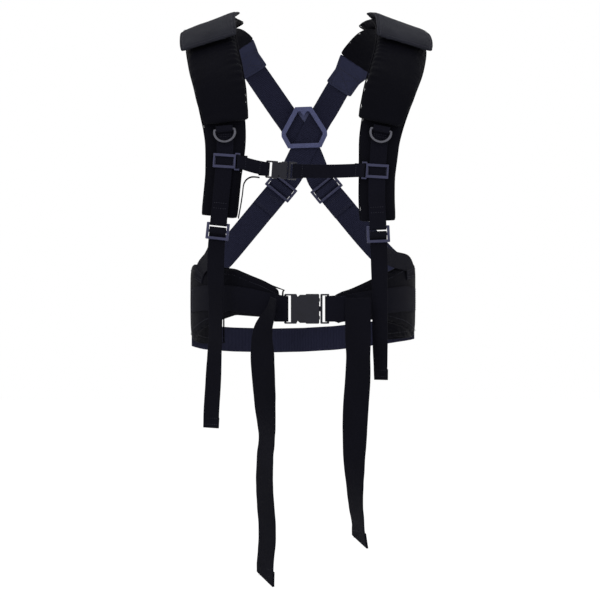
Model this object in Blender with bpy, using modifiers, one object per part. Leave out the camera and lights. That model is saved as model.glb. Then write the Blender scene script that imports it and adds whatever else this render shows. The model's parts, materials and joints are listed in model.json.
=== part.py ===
"""Shoulder-harness tool belt, modelled as it is worn: padded shoulder straps, cross-back webbing, chest strap,
padded belt and the plastic hardware that joins them.

Metres, +Z up. The wearer faces -Y, so the wearer's left side is +X and node names end in _left or _right for the
wearer's sides. The origin lies midway between the wearer's shoulders, at the height where the straps rest.
"""
import math

import bmesh
import bpy
from mathutils import Matrix, Vector

# --- The wearer: overall sizes that every route follows -------------------------------------------------------
WAIST_HALF_WIDTH = 0.166        # middle of the hip pad, side to side
FRONT_DEPTH = 0.118             # middle of the hip pad, at the buckle
BACK_DEPTH = 0.115              # middle of the hip pad line, at the spine
SHOULDER_TO_BUCKLE = 0.408      # origin down to the middle of the waist buckle

# The route points below are drawn for this torso, and on_torso() carries them to the one above.
DRAWN_HALF_WIDTH = 0.166
DRAWN_FRONT = 0.118
DRAWN_BACK = 0.115
DRAWN_DROP = 0.408
DRAWN_BELT_WEB = 0.038          # and for belt webbing of this width, which the adjusters end clear of

# --- Webbing ---------------------------------------------------------------------------------------------------
BELT_WEB = 0.038                # 1.5 inch webbing: belt, back straps and belt tails
BELT_WEB_THICK = 0.0018
STRAP_WEB = 0.025               # 1 inch webbing: shoulder straps, adjusters and their tails
STRAP_WEB_THICK = 0.0015
CHEST_WEB = 0.020               # 3/4 inch webbing: chest strap
CHEST_WEB_THICK = 0.0014
GAP = 0.0004                    # clearance between sewn neighbours
PLAY = 0.0006                   # clearance of webbing in a slot, on each side
SLIDER_PLAY = 0.0018            # the same in a slider, which follows a strap that isn't quite straight
STATION = 0.0115                # spacing of the sections of layered pads

# --- Pads ------------------------------------------------------------------------------------------------------
STRAP_PAD_THICK = 0.010
STRAP_PAD_WIDE = 0.068          # over the shoulder
STRAP_PAD_CHEST = 0.068         # below the cushion
STRAP_PAD_FOOT = 0.052          # at its lower end
YOKE_THICK = 0.005
YOKE_END = 0.046
YOKE_FRONT = 0.062
CUSHION_WIDTH = 0.080
CUSHION_THICK = 0.020
CUSHION_SHARES = [0.42, 0.60, 0.66, 0.80, 0.96, 1.0, 1.0, 0.94, 0.62]     # of that thickness, from rear to front
CUSHION_INWARD = 0.004          # how far cushion and flap sit towards the neck
FLAP_WIDTH = 0.086
FLAP_THICK = 0.006
FLAP_LIFT = 0.0012              # air under the flap, beside its sewn edge
FLAP_PROUD = 0.005              # how far the free edge stands off the cushion
HIP_PAD_THICK = 0.012

# --- Plastic and wire hardware -----------------------------------------------------------------------------------
BAR = 0.0032                    # thickness of ladder locks and tri-glides
BAR_WIDTH = 0.004               # width of a bar that webbing turns round
FRAME_SIDE = 0.004              # side rail of a ladder lock or tri-glide
SLOT = 0.0065                   # length of a webbing slot, along the strap
D_WIRE = 0.002                  # radius of the D-ring's wire
D_HEIGHT = 0.018                # bar to the middle of the arc
SLIDER_WALL = 0.0016
SLIDER_BAR = 0.0020
SLIDER_HEIGHT = 0.021
SLIDER_SIDE = 0.0022
RING_RIM = 0.0072               # width of the cross ring's rim
RING_RIM_THICK = 0.0040
RING_PLATE_THICK = 0.0025
PATCH_THICK = 0.0012

COLOURS = {
    "fabric": (0.012, 0.012, 0.017),
    "lining": (0.030, 0.032, 0.042),
    "webbing": (0.016, 0.016, 0.030),
    "plastic": (0.030, 0.030, 0.055),
    "ring": (0.060, 0.060, 0.120),
    "wire": (0.300, 0.300, 0.320),
}
FINISH = {
    "fabric": (0.90, 0.0),
    "lining": (0.85, 0.0),
    "webbing": (0.75, 0.0),
    "plastic": (0.35, 0.0),
    "ring": (0.35, 0.0),
    "wire": (0.30, 1.0),
}

for old in list(bpy.data.objects):
    bpy.data.objects.remove(old, do_unlink=True)

PARTS = bpy.data.collections.new("tool_belt")
CUTTERS = bpy.data.collections.new("cutters")
bpy.context.scene.collection.children.link(PARTS)
bpy.context.scene.collection.children.link(CUTTERS)


hinge_notes = {}


# --- Building blocks -------------------------------------------------------------------------------------------
def material_for(name, finish):
    """A Principled material of one finish, for one node."""
    material = bpy.data.materials.new(name + "_finish")
    material.use_nodes = True
    shader = material.node_tree.nodes["Principled BSDF"]
    shader.inputs["Base Color"].default_value = (*COLOURS[finish], 1.0)
    shader.inputs["Roughness"].default_value = FINISH[finish][0]
    shader.inputs["Metallic"].default_value = FINISH[finish][1]
    return material


def as_object(name, bm, finish, place=None, smooth=False):
    """Turn a bmesh into a named part at a place, which is a world matrix."""
    mesh = bpy.data.meshes.new(name)
    bmesh.ops.recalc_face_normals(bm, faces=bm.faces)
    bm.to_mesh(mesh)
    bm.free()
    thing = bpy.data.objects.new(name, mesh)
    if finish:
        mesh.materials.append(material_for(name, finish))
        PARTS.objects.link(thing)
    else:
        CUTTERS.objects.link(thing)
        thing.hide_render = True
        thing.display_type = "WIRE"
    if place is not None:
        thing.matrix_world = place
    if smooth:
        mesh.shade_smooth()
        mesh.set_sharp_from_angle(angle=math.radians(40))
    return thing


def place_at(origin, along, facing):
    """A matrix with x along a strap, z the way its face looks, and y across it."""
    x = along.normalized()
    y = facing.cross(x).normalized()
    z = x.cross(y)
    return Matrix.Translation(origin) @ Matrix((x, y, z)).transposed().to_4x4()


def on_torso(x, y, z):
    """Carry a point of a route from the torso it was drawn for to this one."""
    depth = FRONT_DEPTH / DRAWN_FRONT if y < 0 else BACK_DEPTH / DRAWN_BACK
    return Vector((x * WAIST_HALF_WIDTH / DRAWN_HALF_WIDTH, y * depth, z * SHOULDER_TO_BUCKLE / DRAWN_DROP))


def box(name, low, high, finish=None, place=None, bevel=0.0):
    """A box between two corners in its place's own axes."""
    bm = bmesh.new()
    middle = [(a + b) / 2 for a, b in zip(low, high)]
    size = [b - a for a, b in zip(low, high)]
    grow = Matrix.Translation(middle) @ Matrix.Diagonal((*size, 1.0))
    bmesh.ops.create_cube(bm, size=1.0, matrix=grow)
    thing = as_object(name, bm, finish, place)
    if bevel:
        edge = thing.modifiers.new("soft_edges", "BEVEL")
        edge.width = bevel
        edge.segments = 1
        edge.limit_method = "ANGLE"
    return thing


def prism(name, outline, low, high, finish=None, place=None):
    """A flat outline in x and y, given thickness from low to high in z."""
    bm = bmesh.new()
    rim = [bm.verts.new((x, y, low)) for x, y in outline]
    face = bm.faces.new(rim)
    raised = bmesh.ops.extrude_face_region(bm, geom=[face])["geom"]
    lifted = [item for item in raised if isinstance(item, bmesh.types.BMVert)]
    bmesh.ops.translate(bm, vec=(0, 0, high - low), verts=lifted)
    return as_object(name, bm, finish, place)


def combine(target, tool, operation="DIFFERENCE"):
    """Cut a tool out of a target, or join it on."""
    change = target.modifiers.new(operation.lower(), "BOOLEAN")
    change.operation = operation
    change.object = tool
    return target


class Route:
    """A smooth line through control points, each with the direction that the strap's face looks."""

    def __init__(self, points, facings, steps=14):
        self.samples = []
        count = len(points)
        for i in range(count - 1):
            ends = [points[max(i - 1, 0)], points[i], points[i + 1], points[min(i + 2, count - 1)]]
            for k in range(steps):
                t = k / steps
                self.samples.append((self.blend(ends, t), facings[i].lerp(facings[i + 1], t)))
        self.samples.append((points[-1], facings[-1]))
        self.lengths = [0.0]
        for before, after in zip(self.samples, self.samples[1:]):
            self.lengths.append(self.lengths[-1] + (after[0] - before[0]).length)
        self.length = self.lengths[-1]

    @staticmethod
    def blend(ends, t):
        a, b, c, d = ends
        bend = (b * 2.0) + (c - a) * t + (a * 2.0 - b * 5.0 + c * 4.0 - d) * t * t
        return (bend + (b * 3.0 - a - c * 3.0 + d) * t * t * t) * 0.5

    def at(self, distance):
        """World matrix of the strap at a distance from the route's start."""
        distance = min(max(distance, 0.0), self.length)
        i = 0
        while i < len(self.lengths) - 2 and self.lengths[i + 1] < distance:
            i += 1
        span = self.lengths[i + 1] - self.lengths[i]
        t = (distance - self.lengths[i]) / span
        here = self.samples[i][0].lerp(self.samples[i + 1][0], t)
        facing = self.samples[i][1].lerp(self.samples[i + 1][1], t)
        back = self.samples[max(i - 1, 0)][0]
        ahead = self.samples[min(i + 2, len(self.samples) - 1)][0]
        return place_at(here, ahead - back, facing)

    def stretch(self, start, end, count):
        """Places spread evenly from start to end."""
        return [self.at(start + (end - start) * i / (count - 1)) for i in range(count)]

    @staticmethod
    def marks(start, end):
        """Start, end and every whole station between, so that layered pads share their facets."""
        whole = [k * STATION for k in range(math.floor(start / STATION) + 1, math.ceil(end / STATION))]
        inside = [mark for mark in whole if start + STATION * 0.2 < mark < end - STATION * 0.2]
        return [start] + inside + [end]

    def distance_of(self, test):
        """Distance of the first sample that passes a test on its position."""
        for (point, _), distance in zip(self.samples, self.lengths):
            if test(point):
                return distance
        return self.length


def lifted(places, offset):
    """Centre and across vector of each place, offset the way the face looks."""
    return [(place @ Vector((0, 0, offset)), place.to_3x3().col[1].copy()) for place in places]


def turn_round_bar(place, radius, near, far, arc_steps=6):
    """Webbing round a bar at the place's origin: the near leg lies on the face side, x leads away from the bar."""
    path = [Vector((near, 0, radius))] if near > 0 else []
    for i in range(arc_steps + 1):
        angle = math.pi * i / arc_steps
        path.append(Vector((-radius * math.sin(angle), 0, radius * math.cos(angle))))
    if far > 0:
        path.append(Vector((far, 0, -radius)))
    across = place.to_3x3().col[1].copy()
    return [(place @ point, across) for point in path]


def ribbon(name, line, width, thickness, finish="webbing", pivot=None):
    """A flat strip: an edge drawn along a line, then given its thickness."""
    origin = pivot if pivot is not None else Vector((0, 0, 0))
    widths = width if isinstance(width, list) else [width] * len(line)
    bm = bmesh.new()
    edge = None
    steady = line[0][1]
    for (centre, across), wide in zip(line, widths):
        if across.dot(steady) < 0:
            across = -across
        steady = across
        ends = [centre - across * wide / 2 - origin, centre + across * wide / 2 - origin]
        if edge is None:
            edge = bm.edges.new([bm.verts.new(end) for end in ends])
            order = list(edge.verts)
        else:
            grown = bmesh.ops.extrude_edge_only(bm, edges=[edge])["geom"]
            edge = next(item for item in grown if isinstance(item, bmesh.types.BMEdge))
            new = [item for item in grown if isinstance(item, bmesh.types.BMVert)]
            new.sort(key=lambda vert: (vert.co - order[0].co).length)
            order = new
            order[0].co = ends[0]
            order[1].co = ends[1]
    thing = as_object(name, bm, finish, Matrix.Translation(origin))
    wall = thing.modifiers.new("thickness", "SOLIDIFY")
    wall.thickness = thickness
    wall.offset = 0.0
    wall.use_even_offset = True
    return thing


def pad(name, places, widths, thicknesses, offset=0.0, finish="fabric", sides=10, square=3.2, pivot=None):
    """A padded form: soft rectangular sections lofted from one place to the next."""
    origin = pivot if pivot is not None else Vector((0, 0, 0))
    bm = bmesh.new()
    rings = []
    for place, width, thick in zip(places, widths, thicknesses):
        ring = []
        for k in range(sides):
            angle = 2 * math.pi * (k + 0.5) / sides
            y = math.copysign(abs(math.cos(angle)) ** (2 / square), math.cos(angle)) * width / 2
            z = math.copysign(abs(math.sin(angle)) ** (2 / square), math.sin(angle)) * thick / 2
            ring.append(bm.verts.new(place @ Vector((0, y, z + offset)) - origin))
        rings.append(ring)
    for near, far in zip(rings, rings[1:]):
        for k in range(sides):
            bm.faces.new((near[k], near[(k + 1) % sides], far[(k + 1) % sides], far[k]))
    bm.faces.new(rings[0])
    bm.faces.new(rings[-1])
    return as_object(name, bm, finish, Matrix.Translation(origin), smooth=True)


def spread(values, count):
    """Count values read evenly along a short list."""
    result = []
    for i in range(count):
        position = i * (len(values) - 1) / (count - 1)
        k = min(int(position), len(values) - 2)
        result.append(values[k] + (values[k + 1] - values[k]) * (position - k))
    return result


# --- Routes ----------------------------------------------------------------------------------------------------
SIDES = {"right": -1, "left": 1}

SHOULDER_POINTS = {
    "right": [(-0.0756, 0.112, -0.037), (-0.099, 0.092, -0.006), (-0.122, 0.055, 0.009), (-0.139, 0.005, 0.0062),
              (-0.1385, -0.040, -0.017), (-0.133, -0.073, -0.047), (-0.126, -0.0945, -0.080),
              (-0.1204, -0.1055, -0.115), (-0.117, -0.1103, -0.137), (-0.1153, -0.1118, -0.158),
              (-0.1158, -0.1125, -0.180), (-0.118, -0.1134, -0.210), (-0.1215, -0.1145, -0.247),
              (-0.124, -0.1153, -0.272), (-0.127, -0.1161, -0.300)],
    "left": [(0.0554, 0.112, -0.063), (0.085, 0.094, -0.024), (0.115, 0.057, 0.004), (0.142, 0.008, 0.0062),
             (0.1475, -0.038, -0.018), (0.1425, -0.072, -0.050), (0.1315, -0.0955, -0.085),
             (0.122, -0.1062, -0.117), (0.1165, -0.1105, -0.139), (0.1128, -0.1118, -0.160),
             (0.1112, -0.1125, -0.182), (0.1092, -0.1134, -0.212), (0.1088, -0.1145, -0.247),
             (0.1101, -0.1154, -0.276), (0.1112, -0.1162, -0.304)],
}


def shoulder_route(side):
    """From the yoke's rear end, over the shoulder and down the chest."""
    s = SIDES[side]
    points = [on_torso(*point) for point in SHOULDER_POINTS[side]]
    facings = [(0, 1, 0.45), (s * 0.1, 0.8, 0.6), (s * 0.25, 0.45, 0.85), (s * 0.31, 0, 0.95),
               (s * 0.31, -0.45, 0.85), (s * 0.25, -0.75, 0.62), (s * 0.15, -0.92, 0.36), (s * 0.08, -0.97, 0.2)]
    facings += [(0, -1, 0.05)] * (len(points) - len(facings))
    return Route(points, [Vector(facing) for facing in facings])


SHOULDERS = {side: shoulder_route(side) for side in SIDES}


def waist_place(degrees, height, offset=0.0):
    """A place on the belt line: 0 degrees at the buckle, positive to the wearer's left; x leads to the left."""
    angle = math.radians(degrees)
    depth = FRONT_DEPTH if abs(degrees) < 90 else BACK_DEPTH
    level = height * SHOULDER_TO_BUCKLE / DRAWN_DROP
    point = Vector((WAIST_HALF_WIDTH * math.sin(angle), -depth * math.cos(angle), level))
    along = Vector((WAIST_HALF_WIDTH * math.cos(angle), depth * math.sin(angle), 0))
    facing = Vector((along.y, -along.x, 0))
    place = place_at(point, along, facing)
    return place @ Matrix.Translation((0, 0, offset))


# Degrees round the waist, height of the middle and height of the pad.
HIP_SHAPE = {
    "right": [(12, -0.4005, 0.041), (21, -0.393, 0.052), (37, -0.383, 0.066), (60, -0.388, 0.090),
              (85, -0.398, 0.112), (110, -0.402, 0.118), (130, -0.404, 0.116)],
    "left": [(16, -0.408, 0.041), (25, -0.402, 0.044), (40, -0.393, 0.060), (62, -0.388, 0.090),
             (85, -0.394, 0.110), (110, -0.397, 0.112), (130, -0.400, 0.112)],
}
# Degrees round the waist and height of the belt webbing, from its sewn end to the buckle.
BELT_LINE = {
    "right": [(78, -0.396), (60, -0.392), (40, -0.392), (26, -0.397), (18, -0.403)],
    "left": [(78, -0.394), (62, -0.393), (42, -0.397), (30, -0.402), (22, -0.406)],
}
REAR_BELT_LINE = [(-100, -0.447), (-118, -0.453), (-140, -0.457), (-163, -0.459), (-180, -0.458), (-197, -0.455),
                  (-218, -0.448), (-240, -0.441), (-260, -0.436)]


# --- Shoulder pieces -------------------------------------------------------------------------------------------
PAD_FACE = STRAP_PAD_THICK / 2
WEB_OFFSET = PAD_FACE + GAP + SLIDER_WALL + GAP + STRAP_WEB_THICK / 2
D_BAR_OFFSET = WEB_OFFSET + STRAP_WEB_THICK + GAP + GAP + D_WIRE + STRAP_WEB_THICK / 2
KEEPER_TURN = D_WIRE + GAP + STRAP_WEB_THICK / 2
LOCK_TURN = math.hypot(BAR_WIDTH / 2, BAR / 2) + GAP + STRAP_WEB_THICK / 2
LOCK_WIDE = STRAP_WEB + 2 * PLAY + 2 * FRAME_SIDE
STRAP_FOOT_ROOM = 0.0015
LOCK_ROOM = 0.0014              # between the fold's ends and the webbing that carries on from them
LOCK_EXIT = 0.006               # length of webbing that leaves a ladder lock in its own plane
D_BAR_DROP = 0.0075             # cushion's end down to the D-ring's bar
KEEPER_LEG = 0.0055
YOKE_LONG = 0.052
CUSHION_START_Y = 0.062         # where the cushion begins, behind the shoulder
CUSHION_LEVEL = -0.1360         # height of its lower end on the chest
FLAP_START_Y = 0.040
FLAP_LEVEL = -0.034             # height of the strap under the flap's free edge
STRAP_FOOT_LEVEL = {"right": -0.272, "left": -0.276}


def behind_shoulder(side, y):
    """Distance along the strap to a depth behind the shoulder's top."""
    wanted = on_torso(0, y, 0).y
    return SHOULDERS[side].distance_of(lambda point: point.y < wanted)


def down_chest(side, level):
    """Distance along the strap to a height on the chest."""
    wanted = on_torso(0, 0, level).z
    return SHOULDERS[side].distance_of(lambda point: point.y < 0 and point.z < wanted)


def cushion_depth(side, distance):
    """Thickness of the cushion at a distance along the strap."""
    start = behind_shoulder(side, CUSHION_START_Y)
    end = down_chest(side, CUSHION_LEVEL)
    position = min(max((distance - start) / (end - start), 0.0), 1.0) * (len(CUSHION_SHARES) - 1)
    k = min(int(position), len(CUSHION_SHARES) - 2)
    share = CUSHION_SHARES[k] + (CUSHION_SHARES[k + 1] - CUSHION_SHARES[k]) * (position - k)
    return CUSHION_THICK * share


def lock_place(side):
    """The ladder lock's top bar: x leads down the lock, z faces forward."""
    route = SHOULDERS[side]
    foot = route.at(down_chest(side, STRAP_FOOT_LEVEL[side]))
    drop = foot @ Matrix.Translation((STRAP_FOOT_ROOM + LOCK_TURN + BAR_WIDTH, 0, WEB_OFFSET - LOCK_TURN))
    return drop


def build_shoulder(side):
    """Everything sewn along one shoulder strap."""
    route = SHOULDERS[side]
    foot = down_chest(side, STRAP_FOOT_LEVEL[side])
    places = [route.at(mark) for mark in route.marks(YOKE_LONG + GAP, foot)]
    count = len(places)
    widths = spread([YOKE_FRONT, STRAP_PAD_WIDE, STRAP_PAD_WIDE, STRAP_PAD_WIDE, STRAP_PAD_CHEST,
                     (STRAP_PAD_CHEST + STRAP_PAD_FOOT) / 2, STRAP_PAD_FOOT, STRAP_PAD_FOOT], count)
    pad("shoulder_strap_" + side, places, widths, [STRAP_PAD_THICK] * count)

    places = [route.at(mark) for mark in route.marks(0.0, YOKE_LONG)]
    count = len(places)
    pad("yoke_" + side, places, spread([YOKE_END, YOKE_END, YOKE_FRONT], count), [YOKE_THICK] * count,
        finish="lining", square=6.0)

    cushion_start = behind_shoulder(side, CUSHION_START_Y)
    cushion_end = down_chest(side, CUSHION_LEVEL)
    marks = route.marks(cushion_start, cushion_end)
    widths = spread([CUSHION_WIDTH * 0.88] + [CUSHION_WIDTH] * 4 + [CUSHION_WIDTH * 0.95, CUSHION_WIDTH * 0.83],
                    len(marks))
    depths = [cushion_depth(side, mark) for mark in marks]
    inward = -SIDES[side] * CUSHION_INWARD
    bodies = [route.at(mark) @ Matrix.Translation((0, inward, PAD_FACE + GAP + depth / 2))
              for mark, depth in zip(marks, depths)]
    pad("shoulder_cushion_" + side, bodies, widths, depths, sides=12, square=3.0)

    start = behind_shoulder(side, FLAP_START_Y)
    end = down_chest(side, FLAP_LEVEL)
    raised = []
    for i in range(7):
        distance = start + (end - start) * i / 6
        height = PAD_FACE + GAP + cushion_depth(side, distance) + FLAP_LIFT + FLAP_THICK / 2
        raised.append(route.at(distance) @ Matrix.Translation((0, inward, height + FLAP_PROUD * (i / 6) ** 2)))
    sewn = raised[0].translation.copy()
    pad("cushion_flap_" + side, raised, [FLAP_WIDTH] * 7, [FLAP_THICK] * 7, sides=10, square=5.0,
        finish="lining", pivot=sewn)
    hinge_notes["flap_" + side] = (sewn, raised[0].to_3x3().col[1].copy())

    keeper = route.at(cushion_end + D_BAR_DROP) @ Matrix.Translation((0, 0, D_BAR_OFFSET))
    build_d_ring(side, keeper)
    fold = turn_round_bar(keeper @ Matrix.Rotation(math.pi, 4, "Z"), KEEPER_TURN, KEEPER_LEG, KEEPER_LEG)
    ribbon("d_ring_keeper_" + side, fold, STRAP_WEB, STRAP_WEB_THICK)

    lock = lock_place(side)
    strap = lifted(route.stretch(cushion_end + 3 * GAP, foot, 9), WEB_OFFSET)
    loop = turn_round_bar(lock @ Matrix.Rotation(math.pi, 4, "Z"), LOCK_TURN, 0, LOCK_TURN)
    ribbon("strap_webbing_" + side, strap + loop, STRAP_WEB, STRAP_WEB_THICK)
    build_ladder_lock(side, lock)


def build_d_ring(side, place):
    """A wire D: its straight bar on the hinge axis, its arc hanging down the strap."""
    half = STRAP_WEB / 2 + PLAY + D_WIRE
    curve = bpy.data.curves.new("d_ring_" + side, "CURVE")
    curve.dimensions = "3D"
    curve.bevel_depth = D_WIRE
    curve.bevel_resolution = 1
    points = [(0, -half), (0, half)]
    rise = D_HEIGHT - 0.004
    for i in range(9):
        angle = math.pi * i / 8
        points.append((0.004 + rise * math.sin(angle), half * math.cos(angle)))
    spline = curve.splines.new("POLY")
    spline.points.add(len(points) - 1)
    spline.use_cyclic_u = True
    for point, (x, y) in zip(spline.points, points):
        point.co = (x, y, 0, 1)
    thing = bpy.data.objects.new("d_ring_" + side, curve)
    curve.materials.append(material_for("d_ring_" + side, "wire"))
    PARTS.objects.link(thing)
    thing.matrix_world = place
    hinge_notes["d_ring_" + side] = (place.translation.copy(), place.to_3x3().col[1].copy())


def slotted_frame(name, place, width, web, bars, slots):
    """A flat moulded frame: bars across it with webbing slots between them, first bar at the origin."""
    total = bars * BAR_WIDTH + slots * SLOT
    body = box(name, (-BAR_WIDTH / 2, -width / 2, -BAR / 2), (total - BAR_WIDTH / 2, width / 2, BAR / 2),
               "plastic", place, bevel=0.0007)
    half = web / 2 + PLAY
    for i in range(slots):
        start = BAR_WIDTH / 2 + i * (SLOT + BAR_WIDTH)
        hole = box(name + "_slot", (start, -half, -BAR), (start + SLOT, half, BAR), None, place)
        combine(body, hole)
    return body


def build_ladder_lock(side, place):
    """The lock hangs from its top bar, and the webbing turns round its middle bar."""
    slotted_frame("ladder_lock_" + side, place, LOCK_WIDE, STRAP_WEB, 3, 2)
    hinge_notes["ladder_lock_" + side] = (place.translation.copy(), place.to_3x3().col[1].copy())
    step = BAR_WIDTH + SLOT
    middle = place @ Matrix.Translation((step, 0, 0))
    low = 2 * step + BAR_WIDTH / 2
    reach = low - step
    across = place.to_3x3().col[1].copy()
    behind = -(BAR / 2 + GAP + STRAP_WEB_THICK / 2)
    under = behind - STRAP_WEB_THICK - GAP
    path = [(reach, under), (BAR_WIDTH * 1.2, under)]
    for i in range(7):
        angle = math.pi * i / 6
        path.append((-LOCK_TURN * math.sin(angle), -LOCK_TURN * math.cos(angle)))
    window = BAR_WIDTH / 2
    path += [(window * 0.9, LOCK_TURN * 0.98), (window + SLOT * 0.25, LOCK_TURN * 0.74), (window + SLOT * 0.5, 0),
             (window + SLOT * 0.72, behind * 0.78), (window + SLOT * 0.96, behind), (reach, behind)]
    line = [(middle @ Vector((x, 0, z)), across) for x, z in path]
    ribbon("adjuster_fold_" + side, line, STRAP_WEB, STRAP_WEB_THICK)
    build_shoulder_tail(side, place, low, behind)
    build_adjuster(side, place, low, behind - STRAP_WEB_THICK - GAP)


# Position and twist of the hanging tail.
SHOULDER_TAIL_POINTS = {
    "right": [(-0.129, -0.126, -0.395, 30), (-0.1295, -0.129, -0.450, 38), (-0.132, -0.130, -0.505, 22),
              (-0.1345, -0.130, -0.550, 20), (-0.136, -0.130, -0.5835, 24)],
    "left": [(0.1128, -0.126, -0.365, 20), (0.1130, -0.129, -0.420, 28), (0.1136, -0.130, -0.460, 30),
             (0.1140, -0.130, -0.490, 38), (0.1142, -0.130, -0.5128, 42)],
}


# Degrees round the waist and height: where an adjuster reaches the hip pad, and where it is sewn.
ADJUSTER_END = {"right": (63, -0.348, 67, -0.366), "left": (67, -0.341, 70, -0.363)}


def twisted(degrees):
    """The way a hanging strip faces when its left edge is turned towards the front."""
    angle = math.radians(degrees)
    return Vector((-math.sin(angle), -math.cos(angle), 0))


def build_shoulder_tail(side, lock, low, behind):
    """The free end of the adjuster, hanging from the lock's lower edge."""
    top = lock @ Vector((low + LOCK_ROOM, 0, behind))
    straight = lock.to_3x3().col[0] * LOCK_EXIT
    hanging = [on_torso(x, y, z) for x, y, z, _ in SHOULDER_TAIL_POINTS[side]]
    between = (top + straight * 3) * 0.7 + hanging[0] * 0.3
    points = [top, top + straight, between] + hanging
    square_on = lock.to_3x3().col[2].copy()
    facings = [square_on] * 3 + [twisted(turn) for _, _, _, turn in SHOULDER_TAIL_POINTS[side]]
    route = Route(points, facings)
    line = lifted(route.stretch(0, route.length, 12), 0)
    ribbon("shoulder_tail_" + side, line, STRAP_WEB, STRAP_WEB_THICK, pivot=top)
    hinge_notes["shoulder_tail_" + side] = (top, Vector((1, 0, 0)))


def build_adjuster(side, lock, low, behind):
    """From behind the lock, back and out to the top of the hip pad."""
    s = SIDES[side]
    top = lock @ Vector((low + LOCK_ROOM, 0, behind))
    high, high_level, low_end, low_level = ADJUSTER_END[side]
    wider = (BELT_WEB - DRAWN_BELT_WEB) / 2
    on_pad = waist_place(s * high, high_level + wider, HIP_PAD_THICK / 2 + GAP + STRAP_WEB_THICK / 2)
    sewn = waist_place(s * low_end, low_level + wider, HIP_PAD_THICK / 2 + GAP + STRAP_WEB_THICK / 2)
    straight = lock.to_3x3().col[0] * LOCK_EXIT
    leaving = top + straight
    knee = top + straight * 3
    points = [top, leaving]
    for t in (0.25, 0.5, 0.75):
        points.append(leaving.lerp(knee, t).lerp(knee.lerp(on_pad.translation, t), t))
    points += [on_pad.translation, sewn.translation]
    square_on = lock.to_3x3().col[2].copy()
    out = on_pad.to_3x3().col[2]
    facings = [square_on, square_on] + [square_on.lerp(out, t) for t in (0.2, 0.55, 0.85)] + [out, out]
    route = Route(points, facings)
    line = lifted(route.stretch(0, route.length, 12), 0)
    ribbon("adjuster_webbing_" + side, line, STRAP_WEB, STRAP_WEB_THICK)


# --- Chest strap -----------------------------------------------------------------------------------------------
CHEST_LEVEL = {"right": -0.188, "left": -0.2037}
LOOP_WIDE = 0.0065
LOOP_BAR = 0.0022
LOOP_RISE = 0.0012              # the loop stands a little proud of the slider's middle
CHEST_LOOP_HIGH = CHEST_WEB + 2 * PLAY + 2 * LOOP_BAR


def slider_place(side):
    """Middle of the slider, on the strap webbing; x leads down the strap."""
    level = CHEST_LEVEL[side] * SHOULDER_TO_BUCKLE / DRAWN_DROP
    route = SHOULDERS[side]
    distance = route.distance_of(lambda point: point.y < 0 and point.z < level)
    return route.at(distance) @ Matrix.Translation((0, 0, WEB_OFFSET))


def loop_bar(side):
    """The slider's outer bar that the chest webbing turns round, towards the middle of the chest."""
    inward = -SIDES[side]
    half = STRAP_WEB / 2 + SLIDER_PLAY + SLIDER_SIDE
    return inward * (half + LOOP_WIDE - LOOP_BAR / 2)


def build_slider(side):
    """A moulded slider: webbing runs through its tunnel, and a loop on its inner side holds the chest strap."""
    place = slider_place(side)
    inward = -SIDES[side]
    half_web = STRAP_WEB / 2 + SLIDER_PLAY
    half = half_web + SLIDER_SIDE
    tunnel = STRAP_WEB_THICK / 2 + GAP
    body = box("sternum_slider_" + side, (-SLIDER_HEIGHT / 2, -half, -tunnel - SLIDER_WALL),
               (SLIDER_HEIGHT / 2, half, tunnel + SLIDER_BAR), "plastic", place, bevel=0.0004)
    loop_low = min(inward * (half - 0.001), inward * (half + LOOP_WIDE))
    loop_high = max(inward * (half - 0.001), inward * (half + LOOP_WIDE))
    loop = box("slider_loop", (-CHEST_LOOP_HIGH / 2, loop_low, -LOOP_BAR / 2 + LOOP_RISE),
               (CHEST_LOOP_HIGH / 2, loop_high, LOOP_BAR / 2 + LOOP_RISE), None, place)
    combine(body, loop, "UNION")
    passage = box("slider_tunnel", (-SLIDER_HEIGHT, -half_web, -tunnel), (SLIDER_HEIGHT, half_web, tunnel), None,
                  place)
    combine(body, passage)
    window = box("slider_window", (-SLIDER_HEIGHT / 2 + BAR_WIDTH, -half_web, 0),
                 (SLIDER_HEIGHT / 2 - BAR_WIDTH, half_web, 0.01), None, place)
    combine(body, window)
    slot_low = min(inward * (half + 0.0004), inward * (half + LOOP_WIDE - LOOP_BAR))
    slot_high = max(inward * (half + 0.0004), inward * (half + LOOP_WIDE - LOOP_BAR))
    slot = box("slider_slot", (-CHEST_WEB / 2 - PLAY, slot_low, -0.01), (CHEST_WEB / 2 + PLAY, slot_high, 0.01),
               None, place)
    combine(body, slot)
    bar = place @ Vector((0, loop_bar(side), LOOP_RISE))
    return bar


BUCKLE_KINDS = {
    "waist": dict(web=BELT_WEB, web_thick=BELT_WEB_THICK, long=0.0500, high=BELT_WEB + 0.0060, deep=0.0120,
                  prong=0.0050),
    "sternum": dict(web=CHEST_WEB, web_thick=CHEST_WEB_THICK, long=0.0300, high=CHEST_WEB + 0.0055, deep=0.0090,
                    prong=0.0034),
}
BUCKLE_WALL = 0.0018
BUCKLE_BAR = 0.0034             # the square bar that webbing turns round
BUCKLE_RAIL = 0.0024            # side rail beside a webbing slot
RUN = 0.0004                    # running clearance inside the buckle


def buckle_sizes(kind):
    """Sizes of one side-release buckle, in its own axes: x from the socket's bar to the plug."""
    k = dict(BUCKLE_KINDS[kind])
    k["slot"] = 2 * k["web_thick"] + 0.0028
    k["rear"] = BUCKLE_BAR + k["slot"] + 0.0035
    k["cavity"] = k["deep"] / 2 - BUCKLE_WALL
    k["mouth"] = k["long"]
    k["base"] = k["mouth"] + 0.0016
    k["plug_end"] = k["base"] + 0.0032 + k["slot"] + BUCKLE_BAR
    k["turn"] = BUCKLE_BAR / 2 * math.sqrt(2) + GAP + k["web_thick"] / 2
    k["arm"] = k["base"] - k["rear"] - 0.0035
    k["root"] = k["high"] * 0.30
    k["tongue"] = k["high"] * 0.085
    return k


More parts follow.
